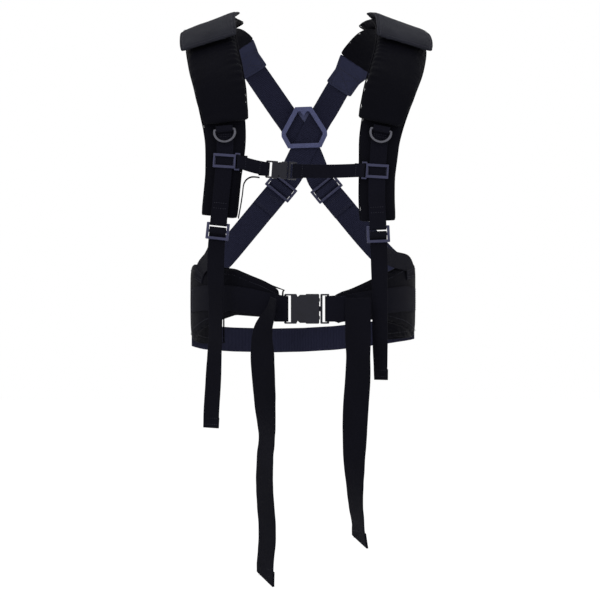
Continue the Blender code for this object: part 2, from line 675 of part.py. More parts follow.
def open_bar(body, kind, k, place, edge, inward):
    """Cut the webbing slot beside the bar at one end of a buckle, and thin the bar to its own size."""
    half = k["web"] / 2 + PLAY
    inner = edge + inward * BUCKLE_BAR
    far = inner + inward * k["slot"]
    combine(body, box(kind + "_slot", (min(inner, far), -half, -0.02), (max(inner, far), half, 0.02), None, place))
    out = edge - inward * 0.01
    for name, low, high in (("face", BUCKLE_BAR / 2, 0.02), ("back", -0.02, -BUCKLE_BAR / 2)):
        relief = box(kind + "_relief_" + name, (min(out, far), -half, low), (max(out, far), half, high), None, place)
        combine(body, relief)


def build_buckle(kind, place):
    """Socket, plug and the plug's two spring prongs. The socket's bar lies at the origin."""
    k = buckle_sizes(kind)
    left_edge = -BUCKLE_BAR / 2
    half = k["high"] / 2
    deep = k["deep"] / 2
    socket = box(kind + "_buckle_socket", (left_edge, -half, -deep), (k["mouth"], half, deep), "plastic", place,
                 bevel=0.0012)
    cavity = box(kind + "_cavity", (k["rear"], -half - 0.01, -k["cavity"]), (k["mouth"] + 0.01, half + 0.01,
                 k["cavity"]), None, place)
    combine(socket, cavity)
    open_bar(socket, kind, k, place, left_edge, 1)
    for name, way in (("upper", 1), ("lower", -1)):
        scoop = [(k["rear"] + 0.002, way * (half + 0.002)), (k["rear"] + 0.005, way * (half - 0.0045)),
                 (k["rear"] + k["arm"] * 0.42, way * (half - 0.0045)),
                 (k["rear"] + k["arm"] * 0.42 + 0.004, way * (half + 0.002))]
        if way < 0:
            scoop.reverse()
        combine(socket, prism(kind + "_scoop_" + name, scoop, -0.02, 0.02, None, place))

    base_low = -k["web"] / 2 - PLAY - BUCKLE_RAIL
    plug = box(kind + "_buckle_plug", (k["base"], base_low, -deep * 0.8), (k["plug_end"], -base_low, deep * 0.8),
               "plastic", place, bevel=0.0008)
    tongue = box(kind + "_tongue", (k["rear"] + 0.004, -k["tongue"], -k["cavity"] + RUN),
                 (k["base"] + 0.001, k["tongue"], k["cavity"] - RUN), None, place)
    combine(plug, tongue, "UNION")
    open_bar(plug, kind, k, place, k["plug_end"], -1)

    thin = k["prong"]
    for name, way in (("upper", 1), ("lower", -1)):
        root = k["root"] * way
        tip = half - 0.0012
        outline = [(-0.0006, -thin / 2), (-0.0006, thin / 2), (-k["arm"] * 0.55, thin / 2 + 0.001),
                   (-k["arm"] * 0.60, tip - k["root"]), (-k["arm"] * 0.86, tip - k["root"]),
                   (-k["arm"], thin / 2 + 0.001), (-k["arm"], -thin * 0.3), (-k["arm"] * 0.55, -thin / 2)]
        outline = [(x, y * way) for x, y in outline]
        if way < 0:
            outline.reverse()
        pivot = place @ Matrix.Translation((k["base"], root, 0))
        prism(kind + "_prong_" + name, outline, -k["cavity"] + RUN, k["cavity"] - RUN, "plastic", pivot)
        hinge_notes[kind + "_prong_" + name] = (pivot.translation.copy(), place.to_3x3().col[2].copy())
    hinge_notes[kind + "_plug"] = (place.translation.copy(), place.to_3x3().col[0].copy())
    return k


CHEST_BUCKLE_BAR = (-0.0535, -0.2020)      # x and height of the socket's bar
CHEST_BUCKLE_TILT = math.radians(-4)
CHEST_BULGE = 0.004                        # how far forward the buckle hangs from the sliders
CHEST_FOLD = 0.012                         # sewn length of webbing behind each loop
CHEST_TAIL_POINTS = [(-0.0640, -0.2145), (-0.0775, -0.2140), (-0.0868, -0.2225), (-0.0896, -0.2420),
                     (-0.0955, -0.2750)]


def build_chest():
    """Chest strap: two sliders, two webbings, the buckle between them and a free end."""
    bars = {side: build_slider(side) for side in SIDES}
    front = Vector((0, -1, 0))
    bar = on_torso(CHEST_BUCKLE_BAR[0], 0, CHEST_BUCKLE_BAR[1])
    bar.y = min(bars["right"].y, bars["left"].y) - CHEST_BULGE
    along = Vector((math.cos(CHEST_BUCKLE_TILT), 0, math.sin(CHEST_BUCKLE_TILT)))
    place = place_at(bar, along, front)
    k = build_buckle("sternum", place)
    turn = LOOP_BAR / 2 * math.sqrt(2) + GAP + CHEST_WEB_THICK / 2
    square_off = {side: slider_place(side).to_3x3().col[1] for side in SIDES}

    start = turn_round_bar(place_at(bars["right"], square_off["right"], front), turn, 0, CHEST_FOLD)
    start.reverse()
    end = turn_round_bar(place_at(bar, -along, front), k["turn"], 0, CHEST_FOLD)
    ribbon("sternum_webbing_right", start + end, CHEST_WEB, CHEST_WEB_THICK)

    plug_bar = place @ Vector((k["plug_end"] - BUCKLE_BAR / 2, 0, 0))
    start = turn_round_bar(place_at(plug_bar, along, front), k["turn"], 0, CHEST_FOLD)
    start.reverse()
    end = turn_round_bar(place_at(bars["left"], -square_off["left"], front), turn, 0, CHEST_FOLD)
    ribbon("sternum_webbing_left", start + end, CHEST_WEB, CHEST_WEB_THICK)

    points = []
    for x, z in CHEST_TAIL_POINTS:
        point = on_torso(x, 0, z)
        point.y = bar.y - CHEST_WEB / 4
        points.append(point)
    facings = [Vector((0, 0, -1)), Vector((0.2, 0, -1)), Vector((1, 0, -0.5)), Vector((1, 0, 0)), Vector((1, 0, 0))]
    route = Route(points, facings)
    ribbon("sternum_tail", lifted(route.stretch(0, route.length, 12), 0), CHEST_WEB, CHEST_WEB_THICK)


# --- Back pieces -----------------------------------------------------------------------------------------------
BACK_PLANE = 0.131
WEB_STEP = BELT_WEB_THICK + GAP
TRI_WIDE = BELT_WEB + 2 * PLAY + 2 * FRAME_SIDE
TRI_OFFSET = BELT_WEB_THICK / 2 + GAP + BELT_WEB_THICK + GAP + BAR / 2
TRI_TAIL = 0.033                # sewn end of the webbing below a tri-glide
RING_CENTRE = (0.0019, BACK_PLANE, -0.1225)
RING_TILT = math.radians(2)
RING_TOP = 0.026                # width of the ring's top edge
RING_WIDE = BELT_WEB + 0.0344
RING_FOOT = BELT_WEB + 0.015
RING_RISE = 0.0335              # centre up to the top edge
RING_SHOULDER = -0.0060         # the widest edge runs from here ...
RING_HIP = -0.0128              # ... down to here
RING_DROP = -0.0315
POINTS_AT_RING = 6              # leading points of a back strap that keep their distances from the ring
# Front strap crosses from the left yoke to the right hip, rear strap from the right yoke to the left hip.
BACK_POINTS = {
    "right": [(-0.0316, BACK_PLANE, -0.0981), (-0.0228, BACK_PLANE, -0.1103), (-0.0068, BACK_PLANE, -0.1345),
              (0.0081, BACK_PLANE, -0.1571), (0.0205, BACK_PLANE, -0.187), (0.0280, BACK_PLANE, -0.2065),
              (0.0614, 0.1225, -0.2476), (0.0948, 0.114, -0.2887), (0.1235, 0.0985, -0.3215)],
    "left": [(0.0359, BACK_PLANE, -0.0941), (0.0271, BACK_PLANE, -0.1079), (0.0130, BACK_PLANE, -0.1340),
             (0.0002, BACK_PLANE, -0.1571), (-0.0130, BACK_PLANE, -0.184), (-0.0235, BACK_PLANE, -0.2030),
             (-0.0614, 0.1215, -0.2494), (-0.0992, 0.1125, -0.2957), (-0.1265, 0.0975, -0.3290)],
}
TRI_LEVEL = {"right": -0.217, "left": -0.215}
OTHER = {"right": "left", "left": "right"}
STRAP_END = {"right": (122, -0.345, 117, -0.370), "left": (122, -0.350, 117, -0.375)}


def back_route(side):
    """From under one yoke, through the cross ring, to the opposite hip pad."""
    yoke = SHOULDERS[side]
    cover = YOKE_THICK / 2 + 2 * GAP + BELT_WEB_THICK / 2
    points = [yoke.at(distance) @ Vector((0, 0, cover)) for distance in (0.038, 0.019, 0.0)]
    step = 0 if side == "right" else -WEB_STEP
    centre = Vector(RING_CENTRE)
    for i, point in enumerate(BACK_POINTS[side]):
        carried = on_torso(*centre) + Vector(point) - centre if i < POINTS_AT_RING else on_torso(*point)
        points.append(carried + Vector((0, step, 0)))
    s = SIDES[OTHER[side]]
    high, high_level, low, low_level = STRAP_END[side]
    ends = [waist_place(s * high, high_level, BELT_OFFSET), waist_place(s * low, low_level, BELT_OFFSET)]
    points += [end.translation for end in ends]
    facings = [-yoke.at(distance).to_3x3().col[2] for distance in (0.038, 0.019, 0.0)]
    facings += [Vector((0, -1, 0))] * 8
    facings += [Vector((-s * 0.35, -0.9, 0.1))]
    facings += [-end.to_3x3().col[2] for end in ends]
    return Route(points, facings)


def inset(outline, width):
    """The same convex outline with every edge moved inwards."""
    result = []
    count = len(outline)
    lines = []
    for i in range(count):
        a = Vector(outline[i])
        b = Vector(outline[(i + 1) % count])
        along = (b - a).normalized()
        lines.append((a + Vector((-along.y, along.x)) * width, along))
    for i in range(count):
        (p, u), (q, v) = lines[i - 1], lines[i]
        t = ((q - p).x * v.y - (q - p).y * v.x) / (u.x * v.y - u.y * v.x)
        result.append(tuple(p + u * t))
    return result


def mirrored(points):
    """Points reflected to negative x, in the order that keeps their sense."""
    return [(-x, y) for x, y in reversed(points)]


def build_ring():
    """The cross ring: a rim on the wearer's side, a plate behind, and three posts that join them."""
    place = place_at(on_torso(*RING_CENTRE), Vector((math.cos(RING_TILT), 0, math.sin(RING_TILT))),
                     Vector((0, -1, 0)))
    right = [(RING_FOOT / 2, RING_DROP), (RING_WIDE / 2, RING_HIP), (RING_WIDE / 2, RING_SHOULDER),
             (RING_TOP / 2, RING_RISE)]
    outline = right + mirrored(right)
    rim_low = WEB_STEP + BELT_WEB_THICK / 2 + GAP
    plate_high = -BELT_WEB_THICK / 2 - GAP
    ring = prism("cross_ring", outline, rim_low, rim_low + RING_RIM_THICK, "ring", place)
    combine(ring, prism("ring_hole", inset(outline, RING_RIM), 0, 0.02, None, place))
    plate = prism("ring_plate", inset(outline, 0.0010), plate_high - RING_PLATE_THICK, plate_high, None, place)
    combine(ring, plate, "UNION")
    post = [(RING_WIDE / 2 - 0.0012, RING_HIP + 0.0013), (RING_WIDE / 2 - 0.0024, RING_HIP + 0.0013),
            (RING_FOOT / 2 - 0.0009, RING_DROP + 0.0055), (RING_FOOT / 2 + 0.0025, RING_DROP + 0.0055)]
    tooth = [(-RING_TOP / 3, RING_RISE - 0.002), (0, RING_RISE - 0.0145), (RING_TOP / 3, RING_RISE - 0.002)]
    for name, shape in (("post_left", post), ("post_right", mirrored(post)), ("tooth", tooth)):
        body = prism(name, shape, plate_high - RING_PLATE_THICK / 2, rim_low + RING_RIM_THICK - 0.0008, None, place)
        combine(ring, body, "UNION")


def build_back(side):
    """One back strap, with the tri-glide and the sewn webbing threaded through it."""
    route = back_route(side)
    ribbon("back_strap_" + side, lifted(route.stretch(0, route.length, 44), 0), BELT_WEB, BELT_WEB_THICK)
    level = TRI_LEVEL[side] * SHOULDER_TO_BUCKLE / DRAWN_DROP
    middle = route.at(route.distance_of(lambda point: point.z < level)) @ Matrix.Translation((0, 0, TRI_OFFSET))
    step = BAR_WIDTH + SLOT
    slotted_frame("tri_glide_" + side, middle @ Matrix.Translation((-step, 0, 0)), TRI_WIDE, BELT_WEB, 3, 2)
    over = BAR / 2 + GAP + BELT_WEB_THICK / 2 + 0.00005
    near = BAR_WIDTH / 2 + 0.0005
    far = BAR_WIDTH / 2 + SLOT - 0.0005
    path = [(-step - BAR_WIDTH / 2, -over), (-far, -over), (-near, over), (near, over), (far, -over),
            (step + BAR_WIDTH / 2, -over), (step + BAR_WIDTH / 2 + TRI_TAIL, -over)]
    across = middle.to_3x3().col[1].copy()
    line = [(middle @ Vector((x, 0, z)), across) for x, z in path]
    ribbon("tri_glide_loop_" + side, line, BELT_WEB, BELT_WEB_THICK)
    hinge_notes["tri_glide_" + side] = (middle.translation.copy(), middle.to_3x3().col[0].copy())


# --- Belt ------------------------------------------------------------------------------------------------------
BELT_GAP = 0.0006
BELT_OFFSET = HIP_PAD_THICK / 2 + BELT_GAP + BELT_WEB_THICK / 2
WAIST_BAR_X = -0.0262
WAIST_LEVEL = -0.408
PAD_STEP = 5                    # degrees between sections round the waist
TAIL_LEAN = 0.0015              # how far a belt tail falls forward, at each of its first two points
TAIL_PINCH = 0.0045             # how far the pinched top of the right tail stands forward
TAIL_SECTIONS = 30
TAIL_END_SLANT = 0.5            # drop of the cut end per unit of its width
OUTER_LEG = {"right": 0.0165, "left": 0.0270}
# Position across and height of a hanging belt tail, and its twist in degrees.
BELT_TAIL_POINTS = {
    "right": [(-0.0437, -0.392, 63), (-0.0487, -0.4126, 53), (-0.0592, -0.4391, 20), (-0.0600, -0.4758, 20),
              (-0.0567, -0.5389, 32), (-0.0530, -0.5947, 52), (-0.0558, -0.627, 50), (-0.0567, -0.6593, 49),
              (-0.0548, -0.7034, 48), (-0.0525, -0.7401, 48), (-0.0553, -0.7815, 50), (-0.0560, -0.8056, 50)],
    "left": [(0.0803, -0.392, 0), (0.0806, -0.4391, 0), (0.0809, -0.4758, 24), (0.0802, -0.5125, 10),
             (0.0776, -0.5492, 5), (0.0754, -0.605, 25), (0.0759, -0.6593, 48), (0.0776, -0.696, 58),
             (0.0806, -0.7254, 64), (0.0830, -0.7504, 56)],
}


def along_waist(side, table):
    """Places along a table of (degrees, height, ...) at the shared sections, with the table's other columns."""
    s = SIDES[side]
    first = table[0][0]
    last = table[-1][0]
    way = 1 if last > first else -1
    marks = [first]
    k = math.floor(first / PAD_STEP) + way if way > 0 else math.ceil(first / PAD_STEP) - 1
    while (last - k * PAD_STEP) * way > PAD_STEP * 0.2:
        if (k * PAD_STEP - first) * way > PAD_STEP * 0.2:
            marks.append(k * PAD_STEP)
        k += way
    marks.append(last)
    rows = []
    for mark in marks:
        i = 0
        while i < len(table) - 2 and (table[i + 1][0] - mark) * way < 0:
            i += 1
        near, far = table[i], table[i + 1]
        t = (mark - near[0]) / (far[0] - near[0])
        values = [a + (b - a) * t for a, b in zip(near, far)]
        rows.append((s * mark, *values[1:]))
    return rows


def build_hip(side):
    """The padded wing of the belt and the webbing sewn along it."""
    rows = along_waist(side, HIP_SHAPE[side])
    places = [waist_place(degrees, level) for degrees, level, _ in rows]
    pad("hip_pad_" + side, places, [height for _, _, height in rows], [HIP_PAD_THICK] * len(rows), square=4.0)


def build_belt_side(side, bar, turn):
    """Belt webbing from the hip, round its buckle bar and back over itself, and the free end that hangs."""
    s = SIDES[side]
    rows = along_waist(side, BELT_LINE[side])
    line = lifted([waist_place(degrees, level, BELT_OFFSET) for degrees, level in rows], 0)
    place = place_at(bar, Vector((s, 0, 0)), Vector((0, -1, 0)))
    loop = turn_round_bar(place, turn, OUTER_LEG[side], 0)
    loop.reverse()
    ribbon("belt_webbing_" + side, line + loop, BELT_WEB, BELT_WEB_THICK)

    front = bar.y - turn - BELT_WEB_THICK - BELT_GAP
    points = []
    for i, (x, z, _) in enumerate(BELT_TAIL_POINTS[side]):
        point = on_torso(x, 0, z)
        point.y = front - TAIL_LEAN * min(i, 2)
        if side == "right" and i < 2:
            point.y -= TAIL_PINCH * (2 - i)
        points.append(point)
    route = Route(points, [twisted(turn) for _, _, turn in BELT_TAIL_POINTS[side]])
    line = lifted(route.stretch(0, route.length, TAIL_SECTIONS), 0)
    centre, across = line[-1]
    line[-1] = (centre, across + Vector((0, 0, -TAIL_END_SLANT)))
    widths = [BELT_WEB] * TAIL_SECTIONS
    if side == "right":
        widths = spread([BELT_WEB * 0.45, BELT_WEB * 0.75] + [BELT_WEB] * 8, TAIL_SECTIONS)
    ribbon("belt_tail_" + side, line, widths, BELT_WEB_THICK, pivot=points[0])
    hinge_notes["belt_tail_" + side] = (points[0], Vector((1, 0, 0)))


def build_belt():
    """Buckle, belt webbing on both sides, and the rear belt."""
    k = buckle_sizes("waist")
    bar = on_torso(WAIST_BAR_X, 0, WAIST_LEVEL)
    bar.y = -(FRONT_DEPTH + BELT_OFFSET + k["turn"])
    place = place_at(bar, Vector((1, 0, 0)), Vector((0, -1, 0)))
    build_buckle("waist", place)
    build_belt_side("right", bar, k["turn"])
    plug_bar = place @ Vector((k["plug_end"] - BUCKLE_BAR / 2, 0, 0))
    build_belt_side("left", plug_bar, k["turn"])

    rows = along_waist("left", REAR_BELT_LINE)
    line = lifted([waist_place(degrees, level, BELT_OFFSET) for degrees, level in rows], 0)
    ribbon("rear_belt", line, BELT_WEB, BELT_WEB_THICK)
    for side, degrees, level in (("right", -124, -0.353), ("left", 124, -0.348)):
        place = waist_place(degrees, level, -HIP_PAD_THICK / 2 - GAP - PATCH_THICK)
        box("strap_patch_" + side, (-0.013, -0.014, 0), (0.013, 0.014, PATCH_THICK), "lining", place)


for one_side in SIDES:
    build_shoulder(one_side)
    build_back(one_side)
    build_hip(one_side)
build_ring()
build_chest()
build_belt()
for note, (spot, direction) in hinge_notes.items():
    print("JOINT", note, [round(v, 5) for v in spot], [round(v, 5) for v in direction])
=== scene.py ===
# %% [markdown]
# # A tool belt carried by a shoulder harness
# The real thing is sewn from three kinds of webbing, foam pads in a woven cover, and a handful of moulded
# plastic fittings. It hangs here as if an unseen wearer stood inside it. Every piece is made in the same
# frame as the engineering model, in metres: X to the wearer's left, Y to the back, Z up.

# %% Load the frame
import json
import math

import bmesh
import bpy
from mathutils import Matrix, Vector, kdtree, noise


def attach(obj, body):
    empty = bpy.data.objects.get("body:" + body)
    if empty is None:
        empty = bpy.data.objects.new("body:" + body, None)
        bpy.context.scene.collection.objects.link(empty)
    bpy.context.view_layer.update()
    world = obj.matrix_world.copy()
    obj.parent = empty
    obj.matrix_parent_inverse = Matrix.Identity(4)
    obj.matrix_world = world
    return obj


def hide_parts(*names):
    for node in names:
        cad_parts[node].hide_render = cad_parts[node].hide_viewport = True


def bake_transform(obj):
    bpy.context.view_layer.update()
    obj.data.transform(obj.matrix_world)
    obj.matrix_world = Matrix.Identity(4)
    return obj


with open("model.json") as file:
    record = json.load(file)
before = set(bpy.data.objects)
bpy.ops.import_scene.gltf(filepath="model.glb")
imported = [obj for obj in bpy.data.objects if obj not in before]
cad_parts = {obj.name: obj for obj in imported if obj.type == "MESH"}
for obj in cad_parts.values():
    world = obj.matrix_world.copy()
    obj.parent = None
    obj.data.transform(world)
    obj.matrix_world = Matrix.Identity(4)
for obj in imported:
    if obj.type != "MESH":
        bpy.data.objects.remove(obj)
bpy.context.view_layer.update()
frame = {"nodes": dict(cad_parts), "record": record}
RECORD = frame["record"]
BODY_OF = {node: body for body, nodes in RECORD["behaviour"]["bodies"].items() for node in nodes}
SIDES = {"right": -1, "left": 1}

# %% [markdown]
# ## Shader maths as plain expressions
# A procedural finish is mostly sums and products of waves and noise. Wiring Math nodes by hand hides the
# idea, so a tiny class wraps one socket and lets Python's own operators add the nodes.


# %% A wrapped socket and a finish
class Wave:
    """One output socket. Operators on it add Math nodes."""

    def __init__(self, finish, socket):
        self.finish = finish
        self.socket = socket

    def math(self, operation, *values):
        return self.finish.node("ShaderNodeMath", {"operation": operation}, dict(enumerate(values)))

    def __add__(self, other):
        return self.math("ADD", self, other)

    def __mul__(self, other):
        return self.math("MULTIPLY", self, other)

    def __sub__(self, other):
        return self.math("SUBTRACT", self, other)

    def __rsub__(self, other):
        return self.math("SUBTRACT", other, self)

    __radd__ = __add__
    __rmul__ = __mul__

    def sine(self, pitch):
        """0 to 1 and back once in every pitch, in metres."""
        phase = self * (2 * math.pi / pitch)
        return phase.math("SINE", phase) * 0.5 + 0.5


class Finish:
    """A Principled material, its node tree and shorthand for adding nodes."""

    def __init__(self, name, roughness, **fixed):
        self.material = bpy.data.materials.new(name)
        self.material.use_nodes = True
        self.tree = self.material.node_tree
        self.shader = self.tree.nodes["Principled BSDF"]
        self.shader.inputs["Roughness"].default_value = roughness
        for socket, value in fixed.items():
            self.shader.inputs[socket.replace("_", " ")].default_value = value

    def node(self, kind, settings=None, inputs=None, output=0):
        """Add a node: its settings first, then values or links for its sockets."""
        made = self.tree.nodes.new(kind)
        for key, value in (settings or {}).items():
            if key == "stops":
                ramp = made.color_ramp
                while len(ramp.elements) < len(value):
                    ramp.elements.new(0.5)
                for element, (position, colour) in zip(ramp.elements, value):
                    element.position = position
                    element.color = (*colour, 1.0)
            else:
                setattr(made, key, value)
        for key, value in (inputs or {}).items():
            self.feed(made.inputs[key], value)
        return Wave(self, made.outputs[output])

    def feed(self, socket, value):
        if isinstance(value, Wave):
            self.tree.links.new(value.socket, socket)
        else:
            socket.default_value = value

    def noise(self, where, scale, detail=2.0):
        return self.node("ShaderNodeTexNoise", None, {"Vector": where, "Scale": scale, "Detail": detail}, 0)

    def colour(self, amount, dark, light):
        """A colour between two, by an amount from 0 to 1."""
        return self.node("ShaderNodeValToRGB", {"stops": [(0.0, dark), (1.0, light)]}, {"Fac": amount})

    def finish(self, colour, rough, height, distance):
        """Join the varying values to the shader."""
        self.feed(self.shader.inputs["Base Color"], colour)
        self.feed(self.shader.inputs["Roughness"], rough)
        bump = self.node("ShaderNodeBump", None, {"Height": height, "Strength": 1.0, "Distance": distance})
        self.feed(self.shader.inputs["Normal"], bump)
        return self.material


print("shader helpers ready")

# %% [markdown]
# ## Webbing
# Webbing is a narrow, heavy plain weave: thick weft ribs run across it, fine warp yarns run along it, and the
# selvedge is a little denser. The pattern has to follow each strip, so it reads the strip's own UV map, which
# holds metres along and metres across.


# %% Webbing finishes
def webbing_finish(name, dark, light, rib=0.0016, yarn=0.0012, rough=0.62):
    f = Finish(name, rough, Sheen_Weight=0.01, Sheen_Roughness=0.4, Specular_IOR_Level=0.05)
    uv = f.node("ShaderNodeUVMap", {"uv_map": "strip"})
    along = f.node("ShaderNodeSeparateXYZ", None, {0: uv}, 0)
    across = f.node("ShaderNodeSeparateXYZ", None, {0: uv}, 1)
    ribs = along.sine(rib)
    yarns = across.sine(yarn)
    place = f.node("ShaderNodeTexCoord", output=3)
    cloudy = f.noise(place, 14.0, 3.0)
    fuzz = f.noise(place, 900.0, 2.0)
    weave = ribs * 0.65 + yarns * ribs * 0.35
    tone = weave * 0.45 + cloudy * 0.45 + fuzz * 0.25
    shine = 0.78 - weave * 0.22 + fuzz * 0.08
    return f.finish(f.colour(tone, dark, light), shine, weave + fuzz * 0.35, 0.0005)


WEB_DARK = webbing_finish("webbing_black", (0.0010, 0.0010, 0.0022), (0.0062, 0.0062, 0.0125))
WEB_NAVY = webbing_finish("webbing_navy", (0.0042, 0.0045, 0.0105), (0.0230, 0.0245, 0.0520), rib=0.0025)
WEB_TAIL = webbing_finish("webbing_tail", (0.0009, 0.0009, 0.0018), (0.0052, 0.0052, 0.0102), rib=0.0014)
print("webbing finishes:", WEB_DARK.name, WEB_NAVY.name, WEB_TAIL.name)

# %% [markdown]
# ## Cover cloth
# The pads wear a light woven nylon over foam. A remeshed cushion has no UV map, so its weave is two fine
# waves through space in object coordinates, and its puckers come from stretched noise.


# %% Cover cloth finishes
def cloth_finish(name, dark, light, pitch=0.0011, wrinkle=1.0, sheen=0.01):
    f = Finish(name, 0.7, Sheen_Weight=sheen, Sheen_Roughness=0.45, Specular_IOR_Level=0.04)
    place = f.node("ShaderNodeTexCoord", output=3)
    x = f.node("ShaderNodeSeparateXYZ", None, {0: place}, 0)
    y = f.node("ShaderNodeSeparateXYZ", None, {0: place}, 1)
    z = f.node("ShaderNodeSeparateXYZ", None, {0: place}, 2)
    warp = (x + y).sine(pitch)
    weft = (z - y * 0.5).sine(pitch)
    weave = warp * 0.5 + weft * 0.5
    long_noise = f.node("ShaderNodeMapping", None, {0: place, 3: (1.0, 1.0, 0.45)})
    folds = f.noise(long_noise, 34.0, 3.0)
    broad = f.noise(place, 9.0, 2.0)
    fuzz = f.noise(place, 1100.0, 2.0)
    # The fold noise also goes into the tone, so the hollows of the puckers are painted darker: painted shade
    # in the creases. The broad noise is the cloth's uneven colour.
    tone = weave * 0.25 + broad * 0.5 + folds * 0.3
    height = weave * 0.10 + folds * wrinkle + fuzz * 0.05
    return f.finish(f.colour(tone, dark, light), 0.72 - weave * 0.12 + fuzz * 0.10, height, 0.0022)


CLOTH_PAD = cloth_finish("cover_black", (0.0006, 0.0006, 0.0013), (0.0034, 0.0034, 0.0068))
# The flap's cover is the black pad cloth painted lighter. This is painted light, standing in for the overhead
# light falling on its upward-facing top.
CLOTH_PAINTED_LIGHT = cloth_finish("cover_black_painted_light", (0.0042, 0.0044, 0.0068), (0.0230, 0.0240, 0.0330), wrinkle=0.8)
CLOTH_YOKE = cloth_finish("yoke_navy", (0.0085, 0.0095, 0.0220), (0.0400, 0.0440, 0.0880), wrinkle=0.45)
print("cloth finishes:", CLOTH_PAD.name, CLOTH_PAINTED_LIGHT.name, CLOTH_YOKE.name)

# %% [markdown]
# ## Moulded plastic, wire and thread
# Acetal fittings have a faint spark-eroded grain and an uneven soft gloss. The D-rings are plated wire with
# fine scratches, and thread is a little shinier than the cloth it holds.


# %% Hard finishes and thread
def plastic_finish(name, dark, light, rough):
    f = Finish(name, rough, Specular_IOR_Level=0.24)
    place = f.node("ShaderNodeTexCoord", output=3)
    grain = f.noise(place, 1700.0, 2.0)
    wear = f.noise(place, 60.0, 5.0)
    tone = wear * 0.7 + grain * 0.3
    return f.finish(f.colour(tone, dark, light), rough - 0.10 + wear * 0.16 + grain * 0.08, grain, 0.00012)


def wire_finish(name):
    f = Finish(name, 0.3, Metallic=1.0)
    place = f.node("ShaderNodeTexCoord", output=3)
    drawn = f.node("ShaderNodeMapping", None, {0: place, 3: (1.0, 1.0, 8.0)})
    scratches = f.noise(drawn, 420.0, 4.0)
    tarnish = f.noise(place, 75.0, 3.0)
    tone = tarnish * 0.6 + scratches * 0.4
    grey = f.colour(tone, (0.045, 0.045, 0.055), (0.150, 0.150, 0.175))
    return f.finish(grey, 0.2 + tarnish * 0.25, scratches, 0.0001)


def thread_finish(name, dark, light):
    f = Finish(name, 0.5, Sheen_Weight=0.05, Specular_IOR_Level=0.2)
    place = f.node("ShaderNodeTexCoord", output=3)
    ply = f.noise(place, 2400.0, 1.0)
    return f.finish(f.colour(ply, dark, light), 0.45 + ply * 0.2, ply, 0.0001)


PLASTIC = plastic_finish("buckle_plastic", (0.0022, 0.0022, 0.0045), (0.0090, 0.0090, 0.0180), 0.38)
PLASTIC_RING = plastic_finish("ring_plastic", (0.0420, 0.0480, 0.1150), (0.0900, 0.1000, 0.2100), 0.36)
PLASTIC_LOOP = plastic_finish("loop_plastic", (0.0150, 0.0160, 0.0380), (0.0430, 0.0450, 0.0980), 0.34)
WIRE = wire_finish("plated_wire")
THREAD = thread_finish("thread_dark", (0.0060, 0.0060, 0.0110), (0.0320, 0.0320, 0.0520))
print("hard finishes and thread ready")

# %% [markdown]
# ## Sizes that the pieces share
# Each size repeats the engineering model's, so a piece made here lies where its solid lies.

# %% Shared sizes
BELT_WEB, BELT_THICK = 0.038, 0.0018
STRAP_WEB, STRAP_THICK = 0.025, 0.0015
CHEST_WEB, CHEST_THICK = 0.020, 0.0014
GAP, PLAY, SLIDER_PLAY = 0.0004, 0.0006, 0.0018
STRAP_PAD, CUSHION, FLAP, YOKE, HIP_PAD = 0.010, 0.020, 0.006, 0.005, 0.012
CUSHION_SHARES = [0.42, 0.60, 0.66, 0.80, 0.96, 1.0, 1.0, 0.94, 0.62]
CUSHION_INWARD = 0.004
CUSHION_REAR, FLAP_REAR = 0.062, 0.040
FLAP_STATIONS = 17
BAR, BAR_WIDTH, SLOT = 0.0032, 0.004, 0.0065
D_WIRE = 0.002
WAIST_HALF, WAIST_FRONT, WAIST_BACK = 0.166, 0.118, 0.115
BACK_PLANE = 0.131
UP = Vector((0, 0, 1))
FRONT = Vector((0, -1, 0))
print("waist", WAIST_HALF * 2, "by", WAIST_FRONT + WAIST_BACK)


# %% [markdown]
# ## Lines that straps follow
# A strap is a line with a facing at each point. A Catmull-Rom curve goes through chosen points, and at any
# distance it gives a matrix: x along the strap, y across it, z the way its face looks.


# %% Place and route
def place_at(origin, along, facing):
    x = along.normalized()
    y = facing.cross(x).normalized()
    z = x.cross(y)
    return Matrix.Translation(origin) @ Matrix((x, y, z)).transposed().to_4x4()


def shifted(place, x=0.0, y=0.0, z=0.0):
    return place @ Matrix.Translation((x, y, z))


class Route:
    """A smooth line through points, with a facing at each."""

    def __init__(self, points, facings, steps=14):
        self.samples = []
        count = len(points)
        for i in range(count - 1):
            a, b = points[max(i - 1, 0)], points[i]
            c, d = points[i + 1], points[min(i + 2, count - 1)]
            for k in range(steps):
                t = k / steps
                even = b * 2.0 + (c - a) * t
                curved = (a * 2.0 - b * 5.0 + c * 4.0 - d) * t * t + (b * 3.0 - a - c * 3.0 + d) * t * t * t
                self.samples.append(((even + curved) * 0.5, facings[i].lerp(facings[i + 1], t)))
        self.samples.append((points[-1], facings[-1]))
        self.lengths = [0.0]
        for before, after in zip(self.samples, self.samples[1:]):
            self.lengths.append(self.lengths[-1] + (after[0] - before[0]).length)
        self.length = self.lengths[-1]

    def at(self, distance):
        distance = min(max(distance, 0.0), self.length)
        i = 0
        while i < len(self.lengths) - 2 and self.lengths[i + 1] < distance:
            i += 1
        t = (distance - self.lengths[i]) / (self.lengths[i + 1] - self.lengths[i])
        here = self.samples[i][0].lerp(self.samples[i + 1][0], t)
        facing = self.samples[i][1].lerp(self.samples[i + 1][1], t)
        back = self.samples[max(i - 1, 0)][0]
        ahead = self.samples[min(i + 2, len(self.samples) - 1)][0]
        return place_at(here, ahead - back, facing)

    def stretch(self, start, end, step=0.006):
        count = max(int((end - start) / step), 4)
        return [self.at(start + (end - start) * i / count) for i in range(count + 1)]

    def distance_of(self, test):
        for (point, _), distance in zip(self.samples, self.lengths):
            if test(point):
                return distance
        return self.length


def lifted(places, offset=0.0):
    return [(shifted(place, z=offset).translation, place.to_3x3().col[1].copy()) for place in places]


